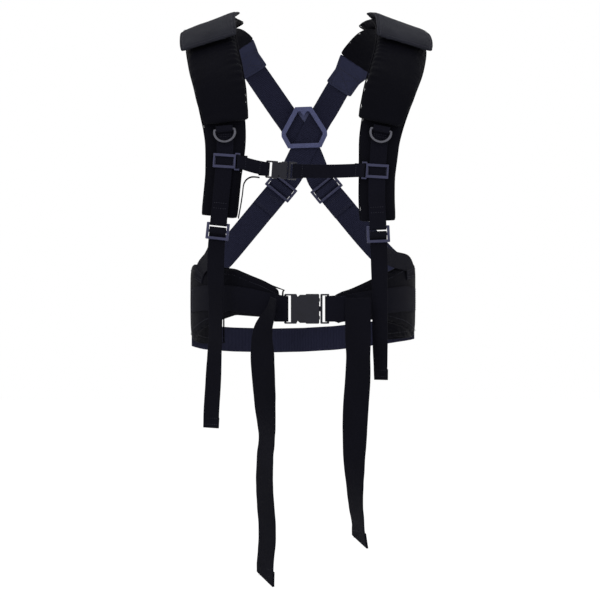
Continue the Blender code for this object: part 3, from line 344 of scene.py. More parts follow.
def turn_round_bar(place, radius, near, far, steps=10):
    """Webbing round a bar: the near leg is on the face side, and x leads away from the bar."""
    path = [Vector((near, 0, radius))] if near > 0 else []
    for i in range(steps + 1):
        angle = math.pi * i / steps
        path.append(Vector((-radius * math.sin(angle), 0, radius * math.cos(angle))))
    if far > 0:
        path.append(Vector((far, 0, -radius)))
    across = place.to_3x3().col[1].copy()
    return [(place @ point, across) for point in path]


def spread(values, count):
    result = []
    for i in range(count):
        position = i * (len(values) - 1) / (count - 1)
        k = min(int(position), len(values) - 2)
        result.append(values[k] + (values[k + 1] - values[k]) * (position - k))
    return result


def twisted(degrees):
    angle = math.radians(degrees)
    return Vector((-math.sin(angle), -math.cos(angle), 0))


print("routes ready")

# %% [markdown]
# ## Making a strip of webbing
# A row of vertices across the strip is extruded from station to station, then given its thickness by a
# Solidify modifier. An extra row close to each edge and end holds the shape when the subdivision rounds it,
# which leaves the soft edge that real webbing has.

# %% Strip builder
STRIP_COLUMNS = [-0.5, -0.47, -0.25, 0.0, 0.25, 0.47, 0.5]


def keep(obj, node, material, ride=True):
    """Put a finished piece in the scene in place of its solid."""
    if not obj.users_collection:
        bpy.context.scene.collection.objects.link(obj)
    obj.data.materials.clear()
    obj.data.materials.append(material)
    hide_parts(node)
    if ride:
        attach(obj, BODY_OF[node])
    return obj


def subdivide(obj, levels=1):
    change = obj.modifiers.new("round", "SUBSURF")
    change.levels = levels
    change.render_levels = levels
    return obj


def with_end_rows(line, depth=0.0006):
    """The same line with one more row just inside each end."""
    first, second = line[0], line[1]
    last, before = line[-1], line[-2]
    lead = min(depth / max((second[0] - first[0]).length, depth), 0.5)
    trail = min(depth / max((before[0] - last[0]).length, depth), 0.5)
    inner = (first[0].lerp(second[0], lead), first[1].lerp(second[1], lead))
    outer = (last[0].lerp(before[0], trail), last[1].lerp(before[1], trail))
    return [first, inner] + line[1:-1] + [outer, last]


def strip_mesh(name, line, width, thickness, ripple=0.0, seed=0.0):
    """A woven strip along (centre, across) rows, with metres along and across in its UV map."""
    line = with_end_rows(line)
    widths = width if isinstance(width, list) else [width]
    widths = spread(widths, len(line)) if len(widths) > 1 else widths * len(line)
    bm = bmesh.new()
    uv = bm.loops.layers.uv.new("strip")
    row = []
    distance = 0.0
    steady = line[0][1]
    for i, (centre, across) in enumerate(line):
        if across.dot(steady) < 0:
            across = -across
        steady = across
        ahead = line[min(i + 1, len(line) - 1)][0] - line[max(i - 1, 0)][0]
        normal = across.cross(ahead).normalized()
        wave = ripple * noise.noise(Vector((distance * 22.0, seed, 0.0)))
        spots = []
        for column in STRIP_COLUMNS:
            flutter = noise.noise(Vector((distance * 60.0, seed + column * 3.0, 4.0)))
            edge = ripple * 0.8 * flutter * abs(column) * 2
            spots.append(centre + across * column * widths[i] + normal * (wave + edge))
        if not row:
            row = [bm.verts.new(spot) for spot in spots]
            edges = [bm.edges.new(pair) for pair in zip(row, row[1:])]
        else:
            distance += (centre - line[i - 1][0]).length
            grown = bmesh.ops.extrude_edge_only(bm, edges=edges)["geom"]
            edges = [item for item in grown if isinstance(item, bmesh.types.BMEdge)]
            fresh = [item for item in grown if isinstance(item, bmesh.types.BMVert)]
            fresh_of = {}
            for old in row:
                for edge_out in old.link_edges:
                    other = edge_out.other_vert(old)
                    if other in fresh:
                        fresh_of[old] = other
            new_row = [fresh_of[old] for old in row]
            for vert, spot in zip(new_row, spots):
                vert.co = spot
            for k in range(len(row) - 1):
                face = next(f for f in row[k].link_faces if new_row[k] in f.verts and row[k + 1] in f.verts)
                for loop in face.loops:
                    side = k if loop.vert in (row[k], new_row[k]) else k + 1
                    far = distance if loop.vert in new_row else distance - (centre - line[i - 1][0]).length
                    loop[uv].uv = (far, (STRIP_COLUMNS[side] + 0.5) * widths[i])
            row = new_row
    bmesh.ops.recalc_face_normals(bm, faces=bm.faces)
    mesh = bpy.data.meshes.new(name)
    bm.to_mesh(mesh)
    bm.free()
    mesh.shade_smooth()
    return mesh


def strap(node, line, width, thickness, material, ripple=0.0, ride=True):
    """A finished strip in place of a webbing node."""
    name = "web_" + node
    obj = bpy.data.objects.new(name, strip_mesh(name, line, width, thickness, ripple, len(node) * 0.37))
    keep(obj, node, material, ride)
    wall = obj.modifiers.new("thickness", "SOLIDIFY")
    wall.thickness = thickness
    wall.offset = 0.0
    wall.use_even_offset = True
    return subdivide(obj)


print("strip builder ready")

# %% [markdown]
# ## Stitches
# A row of lock stitches is a row of small thread beads, each pressed half into the cloth. They are collected
# here by the body that carries them and made into one mesh for each body at the end.

# %% Stitch collector
SEWN = {}
STITCH_PITCH, STITCH_LONG, THREAD_RADIUS = 0.0034, 0.0025, 0.00038


def sew(body, path, out, pitch=STITCH_PITCH):
    """Stitches along a path, on a surface that faces out (one vector, or one for each point)."""
    beads = SEWN.setdefault(body, [])
    outs = out if isinstance(out, list) else [out] * len(path)
    left = pitch * 0.5
    for (a, b), facing in zip(zip(path, path[1:]), outs):
        length = (b - a).length
        if length < 1e-6:
            continue
        along = (b - a) / length
        while left < length:
            beads.append((a + along * left, along, facing.normalized()))
            left += pitch
        left -= length


def sew_across(body, place, width, z, rows=1, gap=0.003):
    """Rows of stitches across a strip at a place, on the face at height z."""
    out = place.to_3x3().col[2] * math.copysign(1, z)
    for k in range(rows):
        ends = [shifted(place, x=k * gap, y=side * (width / 2 - 0.002), z=z).translation for side in (-1, 1)]
        sew(body, ends, out)


def sew_box(body, place, long, wide, z):
    """A box with a cross in it, the usual way to hold a load in webbing."""
    out = place.to_3x3().col[2] * math.copysign(1, z)
    corner = [shifted(place, x=x, y=y, z=z).translation
              for x, y in ((0, -wide / 2), (long, -wide / 2), (long, wide / 2), (0, wide / 2))]
    sew(body, corner + corner[:1], out)
    sew(body, [corner[0], corner[2]], out)
    sew(body, [corner[1], corner[3]], out)


print("stitches of", STITCH_LONG, "m")

# %% [markdown]
# ## Lines of the shoulder straps
# Each strap starts at its yoke behind the shoulder, runs over the shoulder and down the chest. Both lean
# differently, as they do when the harness hangs on a body that stands a little turned.

# %% Shoulder lines
SHOULDER_POINTS = {
    "right": [(-0.0756, 0.112, -0.037), (-0.099, 0.092, -0.006), (-0.122, 0.055, 0.009),
              (-0.139, 0.005, 0.0062), (-0.1385, -0.040, -0.017), (-0.133, -0.073, -0.047),
              (-0.126, -0.0945, -0.080), (-0.1204, -0.1055, -0.115), (-0.117, -0.1103, -0.137),
              (-0.1153, -0.1118, -0.158),
              (-0.1158, -0.1125, -0.180), (-0.118, -0.1134, -0.210), (-0.1215, -0.1145, -0.247),
              (-0.124, -0.1153, -0.272), (-0.127, -0.1161, -0.300)],
    "left": [(0.0554, 0.112, -0.063), (0.085, 0.094, -0.024), (0.115, 0.057, 0.004), (0.142, 0.008, 0.0062),
             (0.1475, -0.038, -0.018), (0.1425, -0.072, -0.050), (0.1315, -0.0955, -0.085),
             (0.122, -0.1062, -0.117), (0.1165, -0.1105, -0.139), (0.1128, -0.1118, -0.160),
             (0.1112, -0.1125, -0.182), (0.1092, -0.1134, -0.212), (0.1088, -0.1145, -0.247),
             (0.1101, -0.1154, -0.276), (0.1112, -0.1162, -0.304)],
}
FOOT_LEVEL = {"right": -0.272, "left": -0.276}
YOKE_LONG, CUSHION_LEVEL, FLAP_LEVEL = 0.052, -0.136, -0.034
WEB_OFFSET = STRAP_PAD / 2 + GAP + 0.0016 + GAP + STRAP_THICK / 2
LOCK_TURN = math.hypot(BAR_WIDTH / 2, BAR / 2) + GAP + STRAP_THICK / 2


def shoulder_route(side):
    s = SIDES[side]
    facings = [(0, 1, 0.45), (s * 0.1, 0.8, 0.6), (s * 0.25, 0.45, 0.85), (s * 0.31, 0, 0.95),
               (s * 0.31, -0.45, 0.85), (s * 0.25, -0.75, 0.62), (s * 0.15, -0.92, 0.36),
               (s * 0.08, -0.97, 0.2)]
    points = SHOULDER_POINTS[side]
    facings += [(0, -1, 0.05)] * (len(points) - len(facings))
    return Route([Vector(p) for p in points], [Vector(v) for v in facings])


SHOULDERS = {side: shoulder_route(side) for side in SIDES}


def behind(side, y):
    return SHOULDERS[side].distance_of(lambda p: p.y < y)


def down(side, z):
    return SHOULDERS[side].distance_of(lambda p: p.y < 0 and p.z < z)


for side in SIDES:
    print(side, "shoulder line", round(SHOULDERS[side].length, 3), "m")

# %% [markdown]
# ## Padded pieces
# A pad is lofted from soft rectangular sections, remeshed into even small faces, and then blown up a little
# with the Cloth solver, which gives the full middle and the pulled-in rim that foam in a sewn cover has.
# What the solver did is applied, and creases, gathers and sewn channels are pressed in afterwards, because a
# remesh would wipe them out.


# %% Loft and stuff
def loft(name, places, widths, depths, square=3.2, sides=32):
    """Sections swept through places. The first is a circle's rim, extruded from place to place."""
    bm = bmesh.new()
    bmesh.ops.create_circle(bm, segments=sides, radius=1.0)
    ring = list(bm.verts)
    shape = [(v.co.x, v.co.y) for v in ring]
    edges = list(bm.edges)

    def settle(verts, place, width, deep):
        for vert, (cy, cz) in zip(verts, shape):
            y = math.copysign(abs(cy) ** (2 / square), cy) * width / 2
            z = math.copysign(abs(cz) ** (2 / square), cz) * deep / 2
            vert.co = place @ Vector((0, y, z))

    settle(ring, places[0], widths[0], depths[0])
    for place, width, deep in list(zip(places, widths, depths))[1:]:
        grown = bmesh.ops.extrude_edge_only(bm, edges=edges)["geom"]
        edges = [item for item in grown if isinstance(item, bmesh.types.BMEdge)]
        fresh = {item for item in grown if isinstance(item, bmesh.types.BMVert)}
        ring = [next(e.other_vert(v) for e in v.link_edges if e.other_vert(v) in fresh) for v in ring]
        settle(ring, place, width, deep)
    rims = [edge for edge in bm.edges if edge.is_boundary]
    bmesh.ops.holes_fill(bm, edges=rims, sides=sides + 2)
    bmesh.ops.recalc_face_normals(bm, faces=bm.faces)
    mesh = bpy.data.meshes.new(name)
    bm.to_mesh(mesh)
    bm.free()
    mesh.shade_smooth()
    return bpy.data.objects.new(name, mesh)


def baked(obj):
    """The object's mesh as its modifiers leave it."""
    bpy.context.view_layer.update()
    seen = obj.evaluated_get(bpy.context.evaluated_depsgraph_get())
    return bpy.data.meshes.new_from_object(seen)


def stuff(obj, voxel=0.0042, cap=0.0035, pressure=4.0, frames=20):
    """Remesh, then swell with cloth, no point moving further than cap."""
    bpy.context.scene.collection.objects.link(obj)
    even = obj.modifiers.new("even", "REMESH")
    even.mode = "VOXEL"
    even.voxel_size = voxel
    obj.data = baked(obj)
    obj.modifiers.clear()
    rest = [v.co.copy() for v in obj.data.vertices]
    cloth = obj.modifiers.new("swell", "CLOTH")
    cloth.settings.use_pressure = True
    cloth.settings.uniform_pressure_force = pressure
    cloth.settings.effector_weights.gravity = 0.0
    cloth.settings.tension_stiffness = 25.0
    cloth.settings.bending_stiffness = 0.6
    cloth.settings.quality = 5
    for number in range(1, frames + 1):
        bpy.context.scene.frame_set(number)
    swollen = baked(obj)
    obj.modifiers.clear()
    for vert, home, grown in zip(obj.data.vertices, rest, swollen.vertices):
        move = grown.co - home
        if move.length > cap:
            move = move * (cap / move.length)
        vert.co = home + move
    bpy.context.scene.frame_set(1)
    obj.data.shade_smooth()
    return obj


def shape_pad(obj, places, press):
    """Move every point by press(distance, total, y, z), in the coordinates of the nearest place."""
    tree = kdtree.KDTree(len(places))
    distance = [0.0]
    for i, place in enumerate(places):
        tree.insert(place.translation, i)
        if i:
            distance.append(distance[-1] + (place.translation - places[i - 1].translation).length)
    tree.balance()
    inverse = [place.inverted() for place in places]
    total = distance[-1]
    for vert in obj.data.vertices:
        _, i, _ = tree.find(vert.co)
        local = inverse[i] @ vert.co
        dy, dz = press(distance[i] + local.x, total, local.y, local.z)
        vert.co = places[i] @ Vector((local.x, local.y + dy, local.z + dz))
    obj.data.update()
    return obj


def fit_width(obj, places, widths):
    """Remeshing and smoothing draw a pad's sides in a little; spread them back to the width it was cut to."""
    tree = kdtree.KDTree(len(places))
    for i, place in enumerate(places):
        tree.insert(place.translation, i)
    tree.balance()
    inverse = [place.inverted() for place in places]
    nearest = [tree.find(vert.co)[1] for vert in obj.data.vertices]
    reach = [0.0] * len(places)
    for vert, i in zip(obj.data.vertices, nearest):
        reach[i] = max(reach[i], abs((inverse[i] @ vert.co).y))
    scale = [min(max((w / 2 + 0.0004) / max(r, 0.001), 1.0), 1.25) for w, r in zip(widths, reach)]
    last = len(scale) - 1
    scale = [(scale[max(i - 1, 0)] + 2 * scale[i] + scale[min(i + 1, last)]) / 4 for i in range(len(scale))]
    for vert, i in zip(obj.data.vertices, nearest):
        local = inverse[i] @ vert.co
        vert.co = places[i] @ Vector((local.x, local.y * scale[i], local.z))
    print(obj.name, "spread by", round((max(scale) - 1) * 100, 1), "% at most")


def bump_at(value, centre, width):
    return math.exp(-((value - centre) / width) ** 2)


print("padding tools ready, simulation", "on")

# %% [markdown]
# ## Shoulder straps, yokes, cushions and flaps
# From behind to the front, a strap is a thin sewn yoke, then a padded strap. A thick cushion sleeve sits over
# the shoulder part, with a seam round its rim, gathers along its inner edge and a crease where it ends.
# A stiff flap lies on top like a brim, and its front edge stands clear.


# %% Pads of one shoulder
def cushion_depth(side, distance):
    start, end = behind(side, CUSHION_REAR), down(side, CUSHION_LEVEL)
    position = min(max((distance - start) / (end - start), 0.0), 1.0) * (len(CUSHION_SHARES) - 1)
    k = min(int(position), len(CUSHION_SHARES) - 2)
    return CUSHION * (CUSHION_SHARES[k] + (CUSHION_SHARES[k + 1] - CUSHION_SHARES[k]) * (position - k))


# Points round a pad's corner: back from its end, in from its side.
SEAM_CORNER = [(0.0045, 0.0004), (0.0030, 0.0018), (0.0024, 0.0048)]


def piping(name, places, widths, material, node, radius=0.0011, pull=0.0):
    """A bound seam round a pad's rim, as a thin closed tube."""
    run = [(p, w / 2) for p, w in zip(places, widths)][2:-2]
    for end, inward in ((0, 1), (-1, -1)):
        rounded = [(shifted(places[end], x=inward * (x + pull)), widths[end] / 2 - y) for x, y in SEAM_CORNER]
        run = rounded[::-1] + run if end == 0 else run + rounded
    right = [shifted(p, y=half).translation for p, half in run]
    left = [shifted(p, y=-half).translation for p, half in run]
    path = right + left[::-1]
    curve = bpy.data.curves.new(name, "CURVE")
    curve.dimensions = "3D"
    curve.bevel_depth = radius
    curve.bevel_resolution = 2
    line = curve.splines.new("POLY")
    line.points.add(len(path) - 1)
    line.use_cyclic_u = True
    for point, spot in zip(line.points, path):
        point.co = (*spot, 1.0)
    tube = bpy.data.objects.new(name + "_line", curve)
    bpy.context.scene.collection.objects.link(tube)
    mesh = baked(tube)
    bpy.data.objects.remove(tube)
    obj = bpy.data.objects.new(name, mesh)
    bpy.context.scene.collection.objects.link(obj)
    obj.data.materials.append(material)
    obj.data.shade_smooth()
    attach(obj, BODY_OF[node])
    return obj


def build_cushion(side):
    node = "shoulder_cushion_" + side
    route, s = SHOULDERS[side], SIDES[side]
    start, end = behind(side, CUSHION_REAR), down(side, CUSHION_LEVEL)
    count = 42
    marks = [start + 0.002 + (end - start - 0.003) * i / (count - 1) for i in range(count)]
    depths = [cushion_depth(side, mark) * 0.94 for mark in marks]
    places = [shifted(route.at(m), y=-s * CUSHION_INWARD, z=STRAP_PAD / 2 + GAP + cushion_depth(side, m) / 2)
              for m in marks]
    widths = [w * 0.97 for w in spread([0.0704, 0.080, 0.080, 0.080, 0.080, 0.076, 0.0665], count)]
    obj = stuff(loft("sewn_" + node, places, widths, depths, square=2.7), cap=0.0030)

    def press(distance, total, y, z):
        inner = y * -s
        top = max(z, 0.0) / (CUSHION / 2)
        uneven = 2.5 * math.sin(distance * 40)
        gathers = bump_at(inner, 0.036, 0.012) * math.sin(distance * 2 * math.pi / 0.0105 + uneven)
        outer = bump_at(-inner, 0.038, 0.010) * math.sin(distance * 2 * math.pi / 0.017 + 1.0)
        crease = bump_at(distance, total - 0.013, 0.0035) * (0.7 + 0.3 * math.sin(y * 160))
        fold = bump_at(distance + 0.25 * inner, total * 0.72, 0.006) * bump_at(inner, 0.030, 0.016)
        soft = noise.noise(Vector((distance * 26, y * 34, s * 2.0)))
        lift = 0.0011 * gathers + 0.0006 * outer - 0.0024 * crease - 0.0014 * fold + 0.0012 * soft
        return -s * 0.0007 * gathers, lift * top

    fit_width(obj, places, widths)
    shape_pad(obj, places, press)
    keep(obj, node, CLOTH_PAD)
    subdivide(obj)
    rim = [w + 0.0008 for w in widths]
    piping("seam_" + node, places, rim, CLOTH_PAD, node)
    for k in (-1, 1):
        edge = [shifted(p, y=k * (w / 2 - 0.0055), z=d * 0.36).translation
                for p, w, d in zip(places, widths, depths)]
        sew(BODY_OF[node], edge, [p.to_3x3().col[2].copy() for p in places])
    return obj


def build_flap(side):
    node = "cushion_flap_" + side
    route, s = SHOULDERS[side], SIDES[side]
    start, end = behind(side, FLAP_REAR), down(side, FLAP_LEVEL)
    places = []
    for i in range(FLAP_STATIONS):
        t = i / (FLAP_STATIONS - 1)
        distance = start + (end - start) * t
        height = STRAP_PAD / 2 + GAP + cushion_depth(side, distance) + 0.0012 + FLAP / 2 + 0.005 * t * t
        places.append(shifted(route.at(distance), y=-s * CUSHION_INWARD, z=height))
    widths = spread([0.084, 0.086, 0.086, 0.085], FLAP_STATIONS)
    block = loft("sewn_" + node, places, widths, [FLAP * 0.92] * FLAP_STATIONS, square=4.5)
    obj = stuff(block, voxel=0.003, cap=0.0008)

    def press(distance, total, y, z):
        rim = max(bump_at(abs(y), 0.039, 0.0022), bump_at(distance, total - 0.004, 0.0022))
        return 0.0, 0.0007 * noise.noise(Vector((distance * 40, y * 45, s))) - math.copysign(0.0007, z) * rim

    fit_width(obj, places, widths)
    shape_pad(obj, places, press)
    # Painted light: the flap and its seam take the lighter copy of the black cover, standing in for light
    # from above.
    keep(obj, node, CLOTH_PAINTED_LIGHT)
    subdivide(obj)
    piping("seam_" + node, places, [w + 0.0004 for w in widths], CLOTH_PAINTED_LIGHT, node, radius=0.0014)
    body = BODY_OF[node]
    for k in (-1, 1):
        edge = [shifted(p, y=k * (w / 2 - 0.004), z=FLAP / 2 - 0.0003).translation
                for p, w in zip(places, widths)]
        sew(body, edge, [p.to_3x3().col[2].copy() for p in places])
    sew_across(body, shifted(places[-1], x=-0.004), 0.080, FLAP / 2 - 0.0003)
    sew_across(body, shifted(places[0], x=0.005), 0.080, FLAP / 2 - 0.0003, rows=2)
    return obj


def build_strap_pad(side):
    node = "shoulder_strap_" + side
    route, s = SHOULDERS[side], SIDES[side]
    start, end = YOKE_LONG + GAP, down(side, FOOT_LEVEL[side])
    count = 62
    places = [route.at(start - 0.0022 + (end - start + 0.0030) * i / (count - 1)) for i in range(count)]
    widths = spread([0.062, 0.068, 0.068, 0.068, 0.068, 0.060, 0.052, 0.052], count)
    block = loft("sewn_" + node, places, [w * 0.985 for w in widths], [STRAP_PAD * 0.93] * count, square=3.0)
    obj = stuff(block, voxel=0.0038, cap=0.0008)

    def press(distance, total, y, z):
        channel = bump_at(abs(y), 0.0150, 0.0018) * bump_at(distance / total, 0.85, 0.35)
        soft = noise.noise(Vector((distance * 30, y * 38, 5 + s)))
        ripple = bump_at(abs(y), 0.030, 0.008) * math.sin(distance * 2 * math.pi / 0.013 + y * 90)
        return 0.0, math.copysign(1, z) * (0.0004 * soft + 0.0003 * ripple - 0.0009 * channel)

    fit_width(obj, places, widths)
    shape_pad(obj, places, press)
    keep(obj, node, CLOTH_PAD)
    subdivide(obj)
    piping("seam_" + node, places, widths, CLOTH_PAD, node, radius=0.0010)
    return obj


def build_yoke(side):
    node = "yoke_" + side
    route = SHOULDERS[side]
    count = 15
    places = [route.at(YOKE_LONG * i / (count - 1)) for i in range(count)]
    widths = spread([0.046, 0.046, 0.062], count)
    obj = loft("sewn_" + node, places, widths, [YOKE * 0.94] * count, square=6.0)
    keep(obj, node, CLOTH_YOKE)
    subdivide(obj)
    body, low = BODY_OF[node], -YOKE / 2 * 0.97
    for start, long, wide in ((0.004, 0.026, 0.036), (0.031, 0.018, 0.046)):
        sew_box(body, route.at(start), long, wide, low)
    for k in (-1, 1):
        edge = [shifted(p, y=k * (w / 2 - 0.003), z=low).translation for p, w in zip(places, widths)]
        sew(body, edge, [-p.to_3x3().col[2] for p in places])
    return obj


for side in SIDES:
    for build in (build_yoke, build_strap_pad, build_cushion, build_flap):
        piece = build(side)
        print(piece.name, len(piece.data.vertices), "points")

# %% [markdown]
# ## Shoulder webbing, D-rings and ladder locks
# A narrow webbing runs down each padded strap. At the foot it turns round the top bar of a ladder lock. The
# adjuster comes up from the hip, goes round the lock's middle bar and hangs down again as a loose tail.


# %% D-rings and keepers
def wire_ring(node, place, half, rise, material):
    """A D of round wire: a straight bar through the keeper and a smooth arc."""
    curve = bpy.data.curves.new("wire_" + node, "CURVE")
    curve.dimensions = "3D"
    curve.bevel_depth = D_WIRE
    curve.bevel_resolution = 5
    arc = [(0.004 + rise * math.sin(math.pi * i / 28), half * math.cos(math.pi * i / 28)) for i in range(29)]
    bar = [(0.0, -half * 0.92), (0.0, -half * 0.5), (0.0, 0.0), (0.0, half * 0.5), (0.0, half * 0.92),
           (0.0006, half * 0.985)]
    path = bar + arc + [(0.0006, -half * 0.985)]
    line = curve.splines.new("POLY")
    line.points.add(len(path) - 1)
    line.use_cyclic_u = True
    for point, (x, y) in zip(line.points, path):
        point.co = (*(place @ Vector((x, y, 0))), 1.0)
    tube = bpy.data.objects.new("wire_line", curve)
    bpy.context.scene.collection.objects.link(tube)
    obj = bpy.data.objects.new("wire_" + node, baked(tube))
    bpy.data.objects.remove(tube)
    obj.data.shade_smooth()
    return keep(obj, node, material)


def build_d_ring(side):
    route = SHOULDERS[side]
    offset = WEB_OFFSET + STRAP_THICK + 2 * GAP + D_WIRE + STRAP_THICK / 2
    place = shifted(route.at(down(side, CUSHION_LEVEL) + 0.0075), z=offset)
    wire_ring("d_ring_" + side, place, STRAP_WEB / 2 + PLAY + D_WIRE, 0.014, WIRE)
    turned = place @ Matrix.Rotation(math.pi, 4, "Z")
    fold = turn_round_bar(turned, D_WIRE + GAP + STRAP_THICK / 2, 0.0055, 0.0055)
    strap("d_ring_keeper_" + side, fold, STRAP_WEB, STRAP_THICK, WEB_DARK)
    return place


def lock_place(side):
    route = SHOULDERS[side]
    foot = route.at(down(side, FOOT_LEVEL[side]))
    return shifted(foot, x=0.0015 + LOCK_TURN + BAR_WIDTH, z=WEB_OFFSET - LOCK_TURN)


SHOULDER_TAILS = {
    "right": [(-0.129, -0.126, -0.395, 30), (-0.1295, -0.129, -0.450, 38), (-0.132, -0.130, -0.505, 22),
              (-0.1345, -0.130, -0.550, 20), (-0.136, -0.130, -0.5835, 24)],
    "left": [(0.1128, -0.126, -0.365, 20), (0.1130, -0.129, -0.420, 28), (0.1136, -0.130, -0.460, 30),
             (0.1140, -0.130, -0.490, 38), (0.1142, -0.130, -0.5128, 42)],
}
ADJUSTER_END = {"right": (63, -0.348, 67, -0.366), "left": (67, -0.341, 70, -0.363)}


def waist_place(degrees, height, offset=0.0):
    angle = math.radians(degrees)
    depth = WAIST_FRONT if abs(degrees) < 90 else WAIST_BACK
    point = Vector((WAIST_HALF * math.sin(angle), -depth * math.cos(angle), height))
    along = Vector((WAIST_HALF * math.cos(angle), depth * math.sin(angle), 0))
    return shifted(place_at(point, along, Vector((along.y, -along.x, 0))), z=offset)


def hem(node, line, width, thickness, material, long=0.022, side=-1):
    """The folded and sewn end of a loose strip: a short second layer with two rows of stitches."""
    body = BODY_OF[node]
    rows, left = [line[-1]], long
    for k in range(len(line) - 1, 0, -1):
        step = (line[k][0] - line[k - 1][0]).length
        if step >= left:
            t = left / step
            rows.append((line[k][0].lerp(line[k - 1][0], t), line[k - 1][1]))
            break
        rows.append(line[k - 1])
        left -= step
    turned = []
    for centre, across in rows:
        flat = Vector((across.x, across.y, 0)).normalized()
        out = flat.cross(UP).normalized() * side
        turned.append((centre + out * (thickness * 1.02), across))
    name = "hem_" + node
    obj = bpy.data.objects.new(name, strip_mesh(name, turned, width * 0.995, thickness, 0.0, 2.0))
    bpy.context.scene.collection.objects.link(obj)
    obj.data.materials.append(material)
    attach(obj, body)
    wall = obj.modifiers.new("thickness", "SOLIDIFY")
    wall.thickness = thickness * 0.95
    wall.offset = 0.0
    subdivide(obj)
    for share in (0.30, 0.86):
        index = share * (len(turned) - 1)
        k = min(int(index), len(turned) - 2)
        centre = turned[k][0].lerp(turned[k + 1][0], index - k)
        across = Vector((turned[k][1].x, turned[k][1].y, 0)).normalized()
        out = across.cross(UP).normalized() * side
        for face in (out * (thickness * 0.5), -out * (thickness * 1.5)):
            ends = [centre + face + across * (width / 2 - 0.003) * sign for sign in (-1, 1)]
            sew(body, ends, face)
    return obj


def build_lock_webbing(side):
    place = lock_place(side)
    step = BAR_WIDTH + SLOT
    middle = shifted(place, x=step)
    low = 2 * step + BAR_WIDTH / 2
    reach = low - step
    across = place.to_3x3().col[1].copy()
    behind_bar = -(BAR / 2 + GAP + STRAP_THICK / 2)
    under = behind_bar - STRAP_THICK - GAP
    path = [(reach, under), (BAR_WIDTH * 1.2, under)]
    for i in range(9):
        angle = math.pi * i / 8
        path.append((-LOCK_TURN * math.sin(angle), -LOCK_TURN * math.cos(angle)))
    window = BAR_WIDTH / 2
    path += [(window * 0.9, LOCK_TURN * 0.98), (window + SLOT * 0.25, LOCK_TURN * 0.74),
             (window + SLOT * 0.5, 0), (window + SLOT * 0.72, behind_bar * 0.78),
             (window + SLOT * 0.96, behind_bar), (reach, behind_bar)]
    fold = [(middle @ Vector((x, 0, z)), across) for x, z in path]
    strap("adjuster_fold_" + side, fold, STRAP_WEB, STRAP_THICK, WEB_DARK)

    down_lock = place.to_3x3().col[0] * 0.006
    square_on = place.to_3x3().col[2].copy()
    top = place @ Vector((low + 0.0005, 0, behind_bar))
    table = SHOULDER_TAILS[side]
    hanging = [Vector((x, y, z)) for x, y, z, _ in table]
    between = (top + down_lock * 3) * 0.7 + hanging[0] * 0.3
    facings = [square_on] * 3 + [twisted(t) for *_, t in table]
    route = Route([top, top + down_lock, between] + hanging, facings)
    line = lifted(route.stretch(0, route.length))
    strap("shoulder_tail_" + side, line, STRAP_WEB, STRAP_THICK, WEB_TAIL, ripple=0.0006)
    hem("shoulder_tail_" + side, line, STRAP_WEB, STRAP_THICK, WEB_TAIL, long=0.016)

    top = place @ Vector((low + 0.0005, 0, under))
    s = SIDES[side]
    high, high_level, low_end, low_level = ADJUSTER_END[side]
    on_pad = waist_place(s * high, high_level, HIP_PAD / 2 + GAP + STRAP_THICK / 2)
    sewn = waist_place(s * low_end, low_level, HIP_PAD / 2 + GAP + STRAP_THICK / 2)
    leaving, knee = top + down_lock, top + down_lock * 3
    points = [top, leaving]
    points += [leaving.lerp(knee, t).lerp(knee.lerp(on_pad.translation, t), t) for t in (0.25, 0.5, 0.75)]
    points += [on_pad.translation, sewn.translation]
    out = on_pad.to_3x3().col[2]
    facings = [square_on, square_on] + [square_on.lerp(out, t) for t in (0.2, 0.55, 0.85)] + [out, out]
    route = Route(points, facings)
    obj = strap("adjuster_webbing_" + side, lifted(route.stretch(0, route.length)), STRAP_WEB, STRAP_THICK,
                WEB_DARK, ride=False)
    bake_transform(obj)
    for back in (0.004, 0.014):
        sew_across("harness", route.at(route.length - back), STRAP_WEB, STRAP_THICK / 2, rows=2)


for side in SIDES:
    build_d_ring(side)
    build_lock_webbing(side)
    route, lock = SHOULDERS[side], lock_place(side)
    low_end = down(side, FOOT_LEVEL[side])
    line = lifted(route.stretch(down(side, CUSHION_LEVEL) + 3 * GAP, low_end), WEB_OFFSET)
    line += turn_round_bar(lock @ Matrix.Rotation(math.pi, 4, "Z"), LOCK_TURN, 0, LOCK_TURN)
    strap("strap_webbing_" + side, line, STRAP_WEB, STRAP_THICK, WEB_DARK, ripple=0.0002)
    for back in (0.012, 0.020):
        sew_across("harness", shifted(route.at(low_end - back), z=WEB_OFFSET), STRAP_WEB, STRAP_THICK / 2)
    for back in (0.014, 0.017):
        spot = shifted(route.at(down(side, CUSHION_LEVEL) + back), z=WEB_OFFSET)
        sew_across("harness", spot, STRAP_WEB, STRAP_THICK / 2)
print("webbing of both shoulders made")

# %% [markdown]
# ## Hip pads, back straps and belt
# Two padded wings lie on the hips. The crossing back straps are sewn to their rear, the rear belt joins them
# across the back, and a belt webbing on each front half turns round the buckle's bar.

# %% Hip wings
HIP_SHAPE = {
    "right": [(12, -0.4005, 0.041), (21, -0.393, 0.052), (37, -0.383, 0.066), (60, -0.388, 0.090),
              (85, -0.398, 0.112), (110, -0.402, 0.118), (130, -0.404, 0.116)],
    "left": [(16, -0.408, 0.041), (25, -0.402, 0.044), (40, -0.393, 0.060), (62, -0.388, 0.090),
             (85, -0.394, 0.110), (110, -0.397, 0.112), (130, -0.400, 0.112)],
}
BELT_LINE = {
    "right": [(78, -0.396), (60, -0.392), (40, -0.392), (26, -0.397), (18, -0.403)],
    "left": [(78, -0.394), (62, -0.393), (42, -0.397), (30, -0.402), (22, -0.406)],
}
REAR_BELT_LINE = [(-100, -0.447), (-118, -0.453), (-140, -0.457), (-163, -0.459), (-180, -0.458),
                  (-197, -0.455), (-218, -0.448), (-240, -0.441), (-260, -0.436)]
BELT_OFFSET = HIP_PAD / 2 + 0.0006 + BELT_THICK / 2


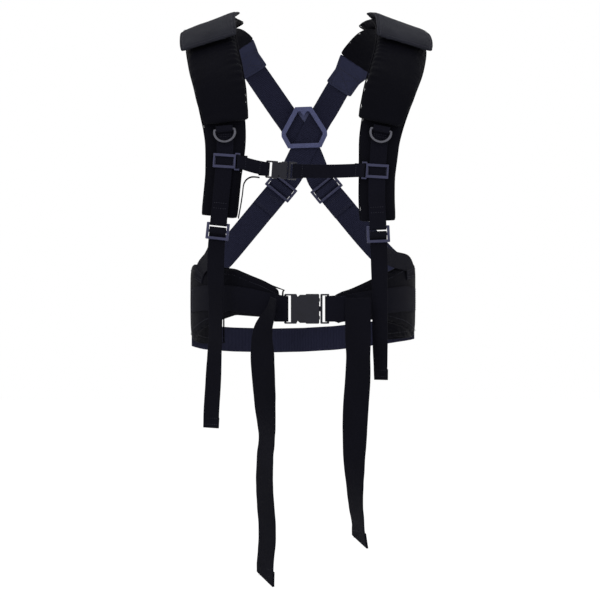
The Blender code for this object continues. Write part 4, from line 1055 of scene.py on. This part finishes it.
def waist_rows(side, table, step=2.0):
    """The table read at even steps round the waist: (degrees with its side's sign, other columns)."""
    s = SIDES[side]
    first, last = table[0][0], table[-1][0]
    count = max(int(abs(last - first) / step), 2)
    rows = []
    for k in range(count + 1):
        mark = first + (last - first) * k / count
        i = 0
        while i < len(table) - 2 and (table[i + 1][0] - mark) * (last - first) < 0:
            i += 1
        near, far = table[i], table[i + 1]
        t = (mark - near[0]) / (far[0] - near[0])
        rows.append((s * mark, *[a + (b - a) * t for a, b in zip(near, far)][1:]))
    return rows


def build_hip(side):
    node, s = "hip_pad_" + side, SIDES[side]
    rows = waist_rows(side, HIP_SHAPE[side])
    places = [waist_place(degrees, level) for degrees, level, _ in rows]
    heights = [height for _, _, height in rows]
    cut = [h * 0.985 for h in heights]
    block = loft("sewn_" + node, places, cut, [HIP_PAD * 0.93] * len(rows), square=4.0)
    obj = stuff(block, voxel=0.0042, cap=0.0008)

    def press(distance, total, y, z):
        t = distance / total
        half = 0.020 + 0.036 * min(t * 1.8, 1.0)
        channel = bump_at(abs(y), half - 0.008, 0.0016)
        uneven = 3 * math.sin(y * 60)
        wrinkle = bump_at(abs(y), half - 0.002, 0.012) * math.sin(distance * 2 * math.pi / 0.015 + uneven)
        soft = noise.noise(Vector((distance * 22, y * 30, 9 + s)))
        return 0.0, math.copysign(1, z) * (0.0004 * soft - 0.0008 * channel) + 0.0004 * wrinkle

    fit_width(obj, places, heights)
    shape_pad(obj, places, press)
    keep(obj, node, CLOTH_PAD)
    subdivide(obj)
    piping("seam_" + node, places, heights, CLOTH_PAD, node, radius=0.0013, pull=0.0020)
    for k in (-1, 1):
        for face in (-1, 1):
            edge = [shifted(p, y=k * (h / 2 - 0.008), z=face * (HIP_PAD / 2 - 0.0006)).translation
                    for p, h in zip(places, heights)]
            sew("harness", edge, [p.to_3x3().col[2] * face for p in places])
    return obj


for side in SIDES:
    print(build_hip(side).name, "made")

# %% Lines of the back straps
BACK_POINTS = {
    "right": [(-0.0316, BACK_PLANE, -0.0981), (-0.0228, BACK_PLANE, -0.1103), (-0.0068, BACK_PLANE, -0.1345),
              (0.0081, BACK_PLANE, -0.1571), (0.0205, BACK_PLANE, -0.187), (0.0280, BACK_PLANE, -0.2065),
              (0.0614, 0.1225, -0.2476), (0.0948, 0.114, -0.2887), (0.1235, 0.0985, -0.3215)],
    "left": [(0.0359, BACK_PLANE, -0.0941), (0.0271, BACK_PLANE, -0.1079), (0.0130, BACK_PLANE, -0.1340),
             (0.0002, BACK_PLANE, -0.1571), (-0.0130, BACK_PLANE, -0.184), (-0.0235, BACK_PLANE, -0.2030),
             (-0.0614, 0.1215, -0.2494), (-0.0992, 0.1125, -0.2957), (-0.1265, 0.0975, -0.3290)],
}
TRI_LEVEL = {"right": -0.217, "left": -0.215}
STRAP_END = {"right": (122, -0.345, 117, -0.370), "left": (122, -0.350, 117, -0.375)}
OTHER = {"right": "left", "left": "right"}
WEB_STEP = BELT_THICK + GAP
TRI_OFFSET = BELT_THICK / 2 + GAP + BELT_THICK + GAP + BAR / 2
TRI_TAIL = 0.033


def back_route(side):
    yoke = SHOULDERS[side]
    cover = YOKE / 2 + 2 * GAP + BELT_THICK / 2
    points = [shifted(yoke.at(distance), z=cover).translation for distance in (0.038, 0.019, 0.0)]
    step = 0 if side == "right" else -WEB_STEP
    points += [Vector(point) + Vector((0, step, 0)) for point in BACK_POINTS[side]]
    s = SIDES[OTHER[side]]
    high, high_level, low, low_level = STRAP_END[side]
    ends = [waist_place(s * high, high_level, BELT_OFFSET), waist_place(s * low, low_level, BELT_OFFSET)]
    points += [end.translation for end in ends]
    facings = [-yoke.at(distance).to_3x3().col[2] for distance in (0.038, 0.019, 0.0)]
    facings += [FRONT] * 8 + [Vector((-s * 0.35, -0.9, 0.1))]
    facings += [-end.to_3x3().col[2] for end in ends]
    return Route(points, facings)


def build_back(side):
    route = back_route(side)
    strap("back_strap_" + side, lifted(route.stretch(0, route.length, 0.005)), BELT_WEB, BELT_THICK, WEB_NAVY,
          ripple=0.0003)
    level = TRI_LEVEL[side]
    middle = shifted(route.at(route.distance_of(lambda point: point.z < level)), z=TRI_OFFSET)
    step = BAR_WIDTH + SLOT
    over = BAR / 2 + GAP + BELT_THICK / 2 + 0.00005
    near, far = BAR_WIDTH / 2 + 0.0005, BAR_WIDTH / 2 + SLOT - 0.0005
    path = [(-step - BAR_WIDTH / 2, -over), (-far, -over), (-near, over), (near, over), (far, -over),
            (step + BAR_WIDTH / 2, -over), (step + BAR_WIDTH / 2 + TRI_TAIL, -over)]
    across = middle.to_3x3().col[1].copy()
    fine = []
    for (x0, z0), (x1, z1) in zip(path, path[1:]):
        parts = max(int(abs(x1 - x0) / 0.0035), 3)
        for k in range(parts):
            t = k / parts
            eased = t * t * (3 - 2 * t) if z0 != z1 else t
            fine.append((x0 + (x1 - x0) * t, z0 + (z1 - z0) * eased))
    fine.append(path[-1])
    node = "tri_glide_loop_" + side
    strap(node, [(middle @ Vector((x, 0, z)), across) for x, z in fine], BELT_WEB, BELT_THICK, WEB_NAVY)
    face = -over + BELT_THICK / 2
    for x in (step + BAR_WIDTH / 2 + 0.006, step + BAR_WIDTH / 2 + TRI_TAIL - 0.004):
        sew_across(BODY_OF[node], shifted(middle, x=x), BELT_WEB, face, rows=2, gap=0.0025)
    for back in (0.006, 0.018):
        for face in (-1, 1):
            sew_across("harness", route.at(route.length - back), BELT_WEB, face * BELT_THICK / 2, rows=2)
    sew_box("harness", route.at(0.003), 0.026, BELT_WEB - 0.005, -BELT_THICK / 2)


for side in SIDES:
    build_back(side)
print("back straps and their sewn ends made")

# %% [markdown]
# ## Belt webbing and its loose ends
# The loose ends hang from where the webbing leaves the doubled layer. The right one starts pinched and edge
# on, both turn slowly about their own length as they fall, and each is cut at a slant and hemmed.

# %% Belt lines
BUCKLE_BAR = 0.0034
WAIST_BAR = Vector((-0.0262, 0.0, -0.408))
OUTER_LEG = {"right": 0.0165, "left": 0.0270}
WAIST_TURN = BUCKLE_BAR / 2 * math.sqrt(2) + GAP + BELT_THICK / 2
WAIST_PLUG_BAR = 0.0500 + 0.0016 + 0.0032 + 2 * BELT_THICK + 0.0028 + BUCKLE_BAR / 2
TAIL_END_SLANT = 0.5
BELT_TAILS = {
    "right": [(-0.0437, -0.392, 63), (-0.0487, -0.4126, 53), (-0.0592, -0.4391, 20), (-0.0600, -0.4758, 20),
              (-0.0567, -0.5389, 32), (-0.0530, -0.5947, 52), (-0.0558, -0.627, 50), (-0.0567, -0.6593, 49),
              (-0.0548, -0.7034, 48), (-0.0525, -0.7401, 48), (-0.0553, -0.7815, 50), (-0.0560, -0.8056, 50)],
    "left": [(0.0803, -0.392, 0), (0.0806, -0.4391, 0), (0.0809, -0.4758, 24), (0.0802, -0.5125, 10),
             (0.0776, -0.5492, 5), (0.0754, -0.605, 25), (0.0759, -0.6593, 48), (0.0776, -0.696, 58),
             (0.0806, -0.7254, 64), (0.0830, -0.7504, 56)],
}


def build_belt_side(side, bar):
    s = SIDES[side]
    rows = waist_rows(side, BELT_LINE[side])
    places = [waist_place(degrees, level, BELT_OFFSET) for degrees, level in rows]
    loop = turn_round_bar(place_at(bar, Vector((s, 0, 0)), FRONT), WAIST_TURN, OUTER_LEG[side], 0)
    loop.reverse()
    node = "belt_webbing_" + side
    moving = side == "left"
    obj = strap(node, lifted(places) + loop, BELT_WEB, BELT_THICK, WEB_DARK, ripple=0.0002, ride=not moving)
    if moving:
        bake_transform(obj)
    for place in (places[0], places[2]):
        sew_across("harness", place, BELT_WEB, BELT_THICK / 2, rows=2, gap=0.002)

    node = "belt_tail_" + side
    front = bar.y - WAIST_TURN - BELT_THICK - 0.0006
    points = []
    for i, (x, z, _) in enumerate(BELT_TAILS[side]):
        y = front - 0.0015 * min(i, 2)
        if side == "right" and i < 2:
            y -= 0.0045 * (2 - i)
        points.append(Vector((x, y, z)))
    route = Route(points, [twisted(turn) for *_, turn in BELT_TAILS[side]])
    line = lifted(route.stretch(0, route.length))
    for back in range(1, 5):
        centre, across = line[-back]
        line[-back] = (centre, across + Vector((0, 0, -TAIL_END_SLANT * (1.15 - 0.15 * back))))
    widths = BELT_WEB
    if side == "right":
        widths = [BELT_WEB * 0.45, BELT_WEB * 0.75] + [BELT_WEB] * 8
    strap(node, line, widths, BELT_THICK, WEB_TAIL, ripple=0.0012)
    hem(node, line, BELT_WEB, BELT_THICK, WEB_TAIL, long=0.018)
    return obj


BELT_BAR = Vector((WAIST_BAR.x, -(WAIST_FRONT + BELT_OFFSET + WAIST_TURN), WAIST_BAR.z))
build_belt_side("right", BELT_BAR)
build_belt_side("left", BELT_BAR + Vector((WAIST_PLUG_BAR, 0, 0)))

rows = waist_rows("left", REAR_BELT_LINE)
rear = [waist_place(degrees, level, BELT_OFFSET) for degrees, level in rows]
strap("rear_belt", lifted(rear), BELT_WEB, BELT_THICK, WEB_NAVY, ripple=0.0003)
for place in (rear[1], rear[3], rear[-2], rear[-4]):
    sew_across("harness", place, BELT_WEB, BELT_THICK / 2, rows=2, gap=0.0025)
print("belt made, rear belt of", len(rear), "stations")

# %% [markdown]
# ## Chest strap
# Two sliders run on the shoulder webbing, and a narrow strap with its own small buckle joins them. The longer
# side's spare end droops from the buckle, edge on.

# %% Chest strap webbing
CHEST_LEVEL = {"right": -0.188, "left": -0.2037}
LOOP_BAR, LOOP_WIDE, LOOP_RISE = 0.0022, 0.0065, 0.0012
CHEST_BAR = (-0.0535, -0.2020)
CHEST_TILT = math.radians(-4)
CHEST_FOLD = 0.012
CHEST_TURN = BUCKLE_BAR / 2 * math.sqrt(2) + GAP + CHEST_THICK / 2
CHEST_PLUG_BAR = 0.0300 + 0.0016 + 0.0032 + 2 * CHEST_THICK + 0.0028 + BUCKLE_BAR / 2
LOOP_TURN = LOOP_BAR / 2 * math.sqrt(2) + GAP + CHEST_THICK / 2
CHEST_TAIL = [(-0.0640, -0.2145), (-0.0775, -0.2140), (-0.0868, -0.2225), (-0.0896, -0.2420),
              (-0.0955, -0.2750)]


def slider_place(side):
    return shifted(SHOULDERS[side].at(down(side, CHEST_LEVEL[side])), z=WEB_OFFSET)


def slider_bar(side):
    half = STRAP_WEB / 2 + SLIDER_PLAY + 0.0022
    return slider_place(side) @ Vector((0, -SIDES[side] * (half + LOOP_WIDE - LOOP_BAR / 2), LOOP_RISE))


def bridged(first, second, sag=0.0010):
    """Two folded ends joined by a stretch that sags a little."""
    a, b = first[-1], second[0]
    parts = max(int((b[0] - a[0]).length / 0.006), 2)
    middle = []
    for k in range(1, parts):
        t = k / parts
        droop = Vector((0, 0.3, -1)) * sag * math.sin(math.pi * t)
        middle.append((a[0].lerp(b[0], t) + droop, a[1].lerp(b[1] if b[1].dot(a[1]) > 0 else -b[1], t)))
    return first + middle + second


bars = {side: slider_bar(side) for side in SIDES}
chest_bar = Vector((CHEST_BAR[0], min(bars["right"].y, bars["left"].y) - 0.004, CHEST_BAR[1]))
along = Vector((math.cos(CHEST_TILT), 0, math.sin(CHEST_TILT)))
square_off = {side: slider_place(side).to_3x3().col[1] for side in SIDES}
start = turn_round_bar(place_at(bars["right"], square_off["right"], FRONT), LOOP_TURN, 0, CHEST_FOLD)
end = turn_round_bar(place_at(chest_bar, -along, FRONT), CHEST_TURN, 0, CHEST_FOLD)
strap("sternum_webbing_right", bridged(start[::-1], end), CHEST_WEB, CHEST_THICK, WEB_DARK)
plug_bar = place_at(chest_bar, along, FRONT) @ Vector((CHEST_PLUG_BAR, 0, 0))
start = turn_round_bar(place_at(plug_bar, along, FRONT), CHEST_TURN, 0, CHEST_FOLD)
end = turn_round_bar(place_at(bars["left"], -square_off["left"], FRONT), LOOP_TURN, 0, CHEST_FOLD)
joined = bridged(start[::-1], end)
chest_left = strap("sternum_webbing_left", joined, CHEST_WEB, CHEST_THICK, WEB_DARK, ride=False)
tuple(bars["left"] - along * 0.012)
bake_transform(chest_left)
for body, place in (("chest_plug", place_at(plug_bar, along, FRONT)),
                    ("chest_strap", place_at(bars["left"], -along, FRONT)),
                    ("chest_strap", place_at(bars["right"], along, FRONT)),
                    ("chest_strap", place_at(chest_bar, -along, FRONT))):
    sew_across(body, shifted(place, x=CHEST_FOLD - 0.002), CHEST_WEB, CHEST_TURN + CHEST_THICK / 2)
points = [Vector((x, chest_bar.y - CHEST_WEB / 4, z)) for x, z in CHEST_TAIL]
facings = [Vector(v) for v in ((0, 0, -1), (0.2, 0, -1), (1, 0, -0.5), (1, 0, 0), (1, 0, 0))]
route = Route(points, facings)
line = lifted(route.stretch(0, route.length, 0.004))
strap("sternum_tail", line, CHEST_WEB, CHEST_THICK, WEB_TAIL, ripple=0.0003)
print("chest strap made")

# %% [markdown]
# ## Moulded hardware
# Rings, ladder locks, glides, sliders and buckles keep the shape of the CAD, with the small rounded edges
# that moulding leaves.

# %% Moulded parts
MOULDED = {
    "cross_ring": (PLASTIC_RING, 0.0007), "waist_buckle_socket": (PLASTIC, 0.0006),
    "waist_buckle_plug": (PLASTIC, 0.0005), "waist_prong_upper": (PLASTIC, 0.0004),
    "waist_prong_lower": (PLASTIC, 0.0004), "sternum_buckle_socket": (PLASTIC, 0.0004),
    "sternum_buckle_plug": (PLASTIC, 0.0003), "sternum_prong_upper": (PLASTIC, 0.0003),
    "sternum_prong_lower": (PLASTIC, 0.0003),
}
for side in SIDES:
    MOULDED["ladder_lock_" + side] = (PLASTIC_LOOP, 0.0004)
    MOULDED["tri_glide_" + side] = (PLASTIC_LOOP, 0.0004)
    MOULDED["sternum_slider_" + side] = (PLASTIC_LOOP, 0.0003)


def moulded(node, material, radius):
    bm = bmesh.new()
    bm.from_mesh(frame["nodes"][node].data)
    bmesh.ops.remove_doubles(bm, verts=bm.verts, dist=1e-6)
    bmesh.ops.dissolve_limit(bm, angle_limit=math.radians(1), verts=bm.verts, edges=bm.edges)
    sharp = [edge for edge in bm.edges
             if len(edge.link_faces) == 2 and edge.calc_face_angle(0) > math.radians(30)]
    bmesh.ops.bevel(bm, geom=sharp, offset=radius, offset_type="OFFSET", segments=2, profile=0.5,
                    affect="EDGES", clamp_overlap=True, material=-1)
    mesh = bpy.data.meshes.new("moulded_" + node)
    bm.to_mesh(mesh)
    bm.free()
    mesh.shade_smooth()
    mesh.set_sharp_from_angle(angle=math.radians(50))
    obj = bpy.data.objects.new("moulded_" + node, mesh)
    return keep(obj, node, material)


for node, (material, radius) in MOULDED.items():
    moulded(node, material, radius)
print(len(MOULDED), "moulded parts made")

# %% Patches behind the hips
for side, s, degrees, level in (("right", -1, -124, -0.353), ("left", 1, 124, -0.348)):
    node = "strap_patch_" + side
    moulded(node, CLOTH_YOKE, 0.0003)
    place = waist_place(degrees, level, -HIP_PAD / 2 - 0.0004 - 0.0012)
    sew_box("harness", shifted(place, x=-0.010), 0.020, 0.022, -0.0001)

# %% [markdown]
# ## Thread
# Every stitch laid above becomes a small bead of thread, one mesh for each moving body.

# %% Stitches
def thread_mesh(body, stitches):
    template = bmesh.new()
    bmesh.ops.create_uvsphere(template, u_segments=6, v_segments=4, radius=1)
    shape = [vert.co.copy() for vert in template.verts]
    faces = [[vert.index for vert in face.verts] for face in template.faces]
    template.free()
    coords, polygons = [], []
    for point, along, out in stitches:
        along = along.normalized()
        side = out.cross(along).normalized()
        start = len(coords)
        for co in shape:
            coords.append(point + along * co.x * STITCH_LONG * 0.42 + side * co.y * THREAD_RADIUS
                          + out.normalized() * co.z * THREAD_RADIUS)
        polygons += [[start + i for i in face] for face in faces]
    mesh = bpy.data.meshes.new("stitching_" + body)
    mesh.from_pydata(coords, [], polygons)
    mesh.shade_smooth()
    mesh.materials.append(THREAD)
    obj = bpy.data.objects.new("stitching_" + body, mesh)
    bpy.context.scene.collection.objects.link(obj)
    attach(obj, body)
    return obj


for body, stitches in SEWN.items():
    thread_mesh(body, stitches)
print({body: len(stitches) for body, stitches in SEWN.items()}, "stitches")

# %% [markdown]
# ## Floor, light and camera
# The belt hangs above a plain white floor in a white world, with no wall, because a wall would stand in the
# way of a camera behind. The bright world lights it softly from every side and three weak lights add shape.
# The camera stands far back, so the belt is seen almost without perspective.

# %% Floor
FLOOR_LEVEL, FLOOR_HALF = -0.90, 8.0
bm = bmesh.new()
level = Matrix.Translation((0, 0, FLOOR_LEVEL))
bmesh.ops.create_grid(bm, x_segments=1, y_segments=1, size=FLOOR_HALF, matrix=level)
floor_mesh = bpy.data.meshes.new("floor")
bm.to_mesh(floor_mesh)
bm.free()
floor = bpy.data.objects.new("floor", floor_mesh)
white = bpy.data.materials.new("white_paper")
white.use_nodes = True
paper = white.node_tree.nodes["Principled BSDF"]
paper.inputs["Base Color"].default_value = (0.08, 0.08, 0.08, 1)
paper.inputs["Roughness"].default_value = 0.9
paper.inputs["Specular IOR Level"].default_value = 0.0
paper.inputs["Emission Color"].default_value = (1, 1, 1, 1)
paper.inputs["Emission Strength"].default_value = 0.96
floor_mesh.materials.append(white)
bpy.context.scene.collection.objects.link(floor)

# %% Lights and camera
CAMERA_PLACE = (-0.0046, -3.5, -0.395)
CAMERA_LENS = 137.28


def area_light(name, location, target, size, power):
    data = bpy.data.lights.new(name, "AREA")
    data.shape, data.size, data.energy = "SQUARE", size, power
    light = bpy.data.objects.new(name, data)
    light.location = location
    light.rotation_euler = (Vector(target) - Vector(location)).to_track_quat("-Z", "Y").to_euler()
    bpy.context.scene.collection.objects.link(light)


area_light("key", (-1.6, -2.2, 1.6), (0, 0, -0.35), 1.6, 14)
area_light("fill", (2.2, -2.0, 0.6), (0, 0, -0.35), 1.8, 5)
area_light("top", (0.0, 0.4, 2.2), (0, 0, -0.2), 1.4, 9)
world = bpy.data.worlds.new("studio")
world.use_nodes = True
world.node_tree.nodes["Background"].inputs["Color"].default_value = (1, 1, 1, 1)
world.node_tree.nodes["Background"].inputs["Strength"].default_value = 1.0
bpy.context.scene.world = world
camera_data = bpy.data.cameras.new("camera")
camera_data.lens, camera_data.sensor_width = CAMERA_LENS, 36
camera_data.clip_end = 50
camera = bpy.data.objects.new("camera", camera_data)
camera.location = CAMERA_PLACE
camera.rotation_euler = (math.radians(90), 0, 0)
bpy.context.scene.collection.objects.link(camera)
bpy.context.scene.camera = camera
bpy.context.scene.view_settings.view_transform = "Standard"
print("stage lit")
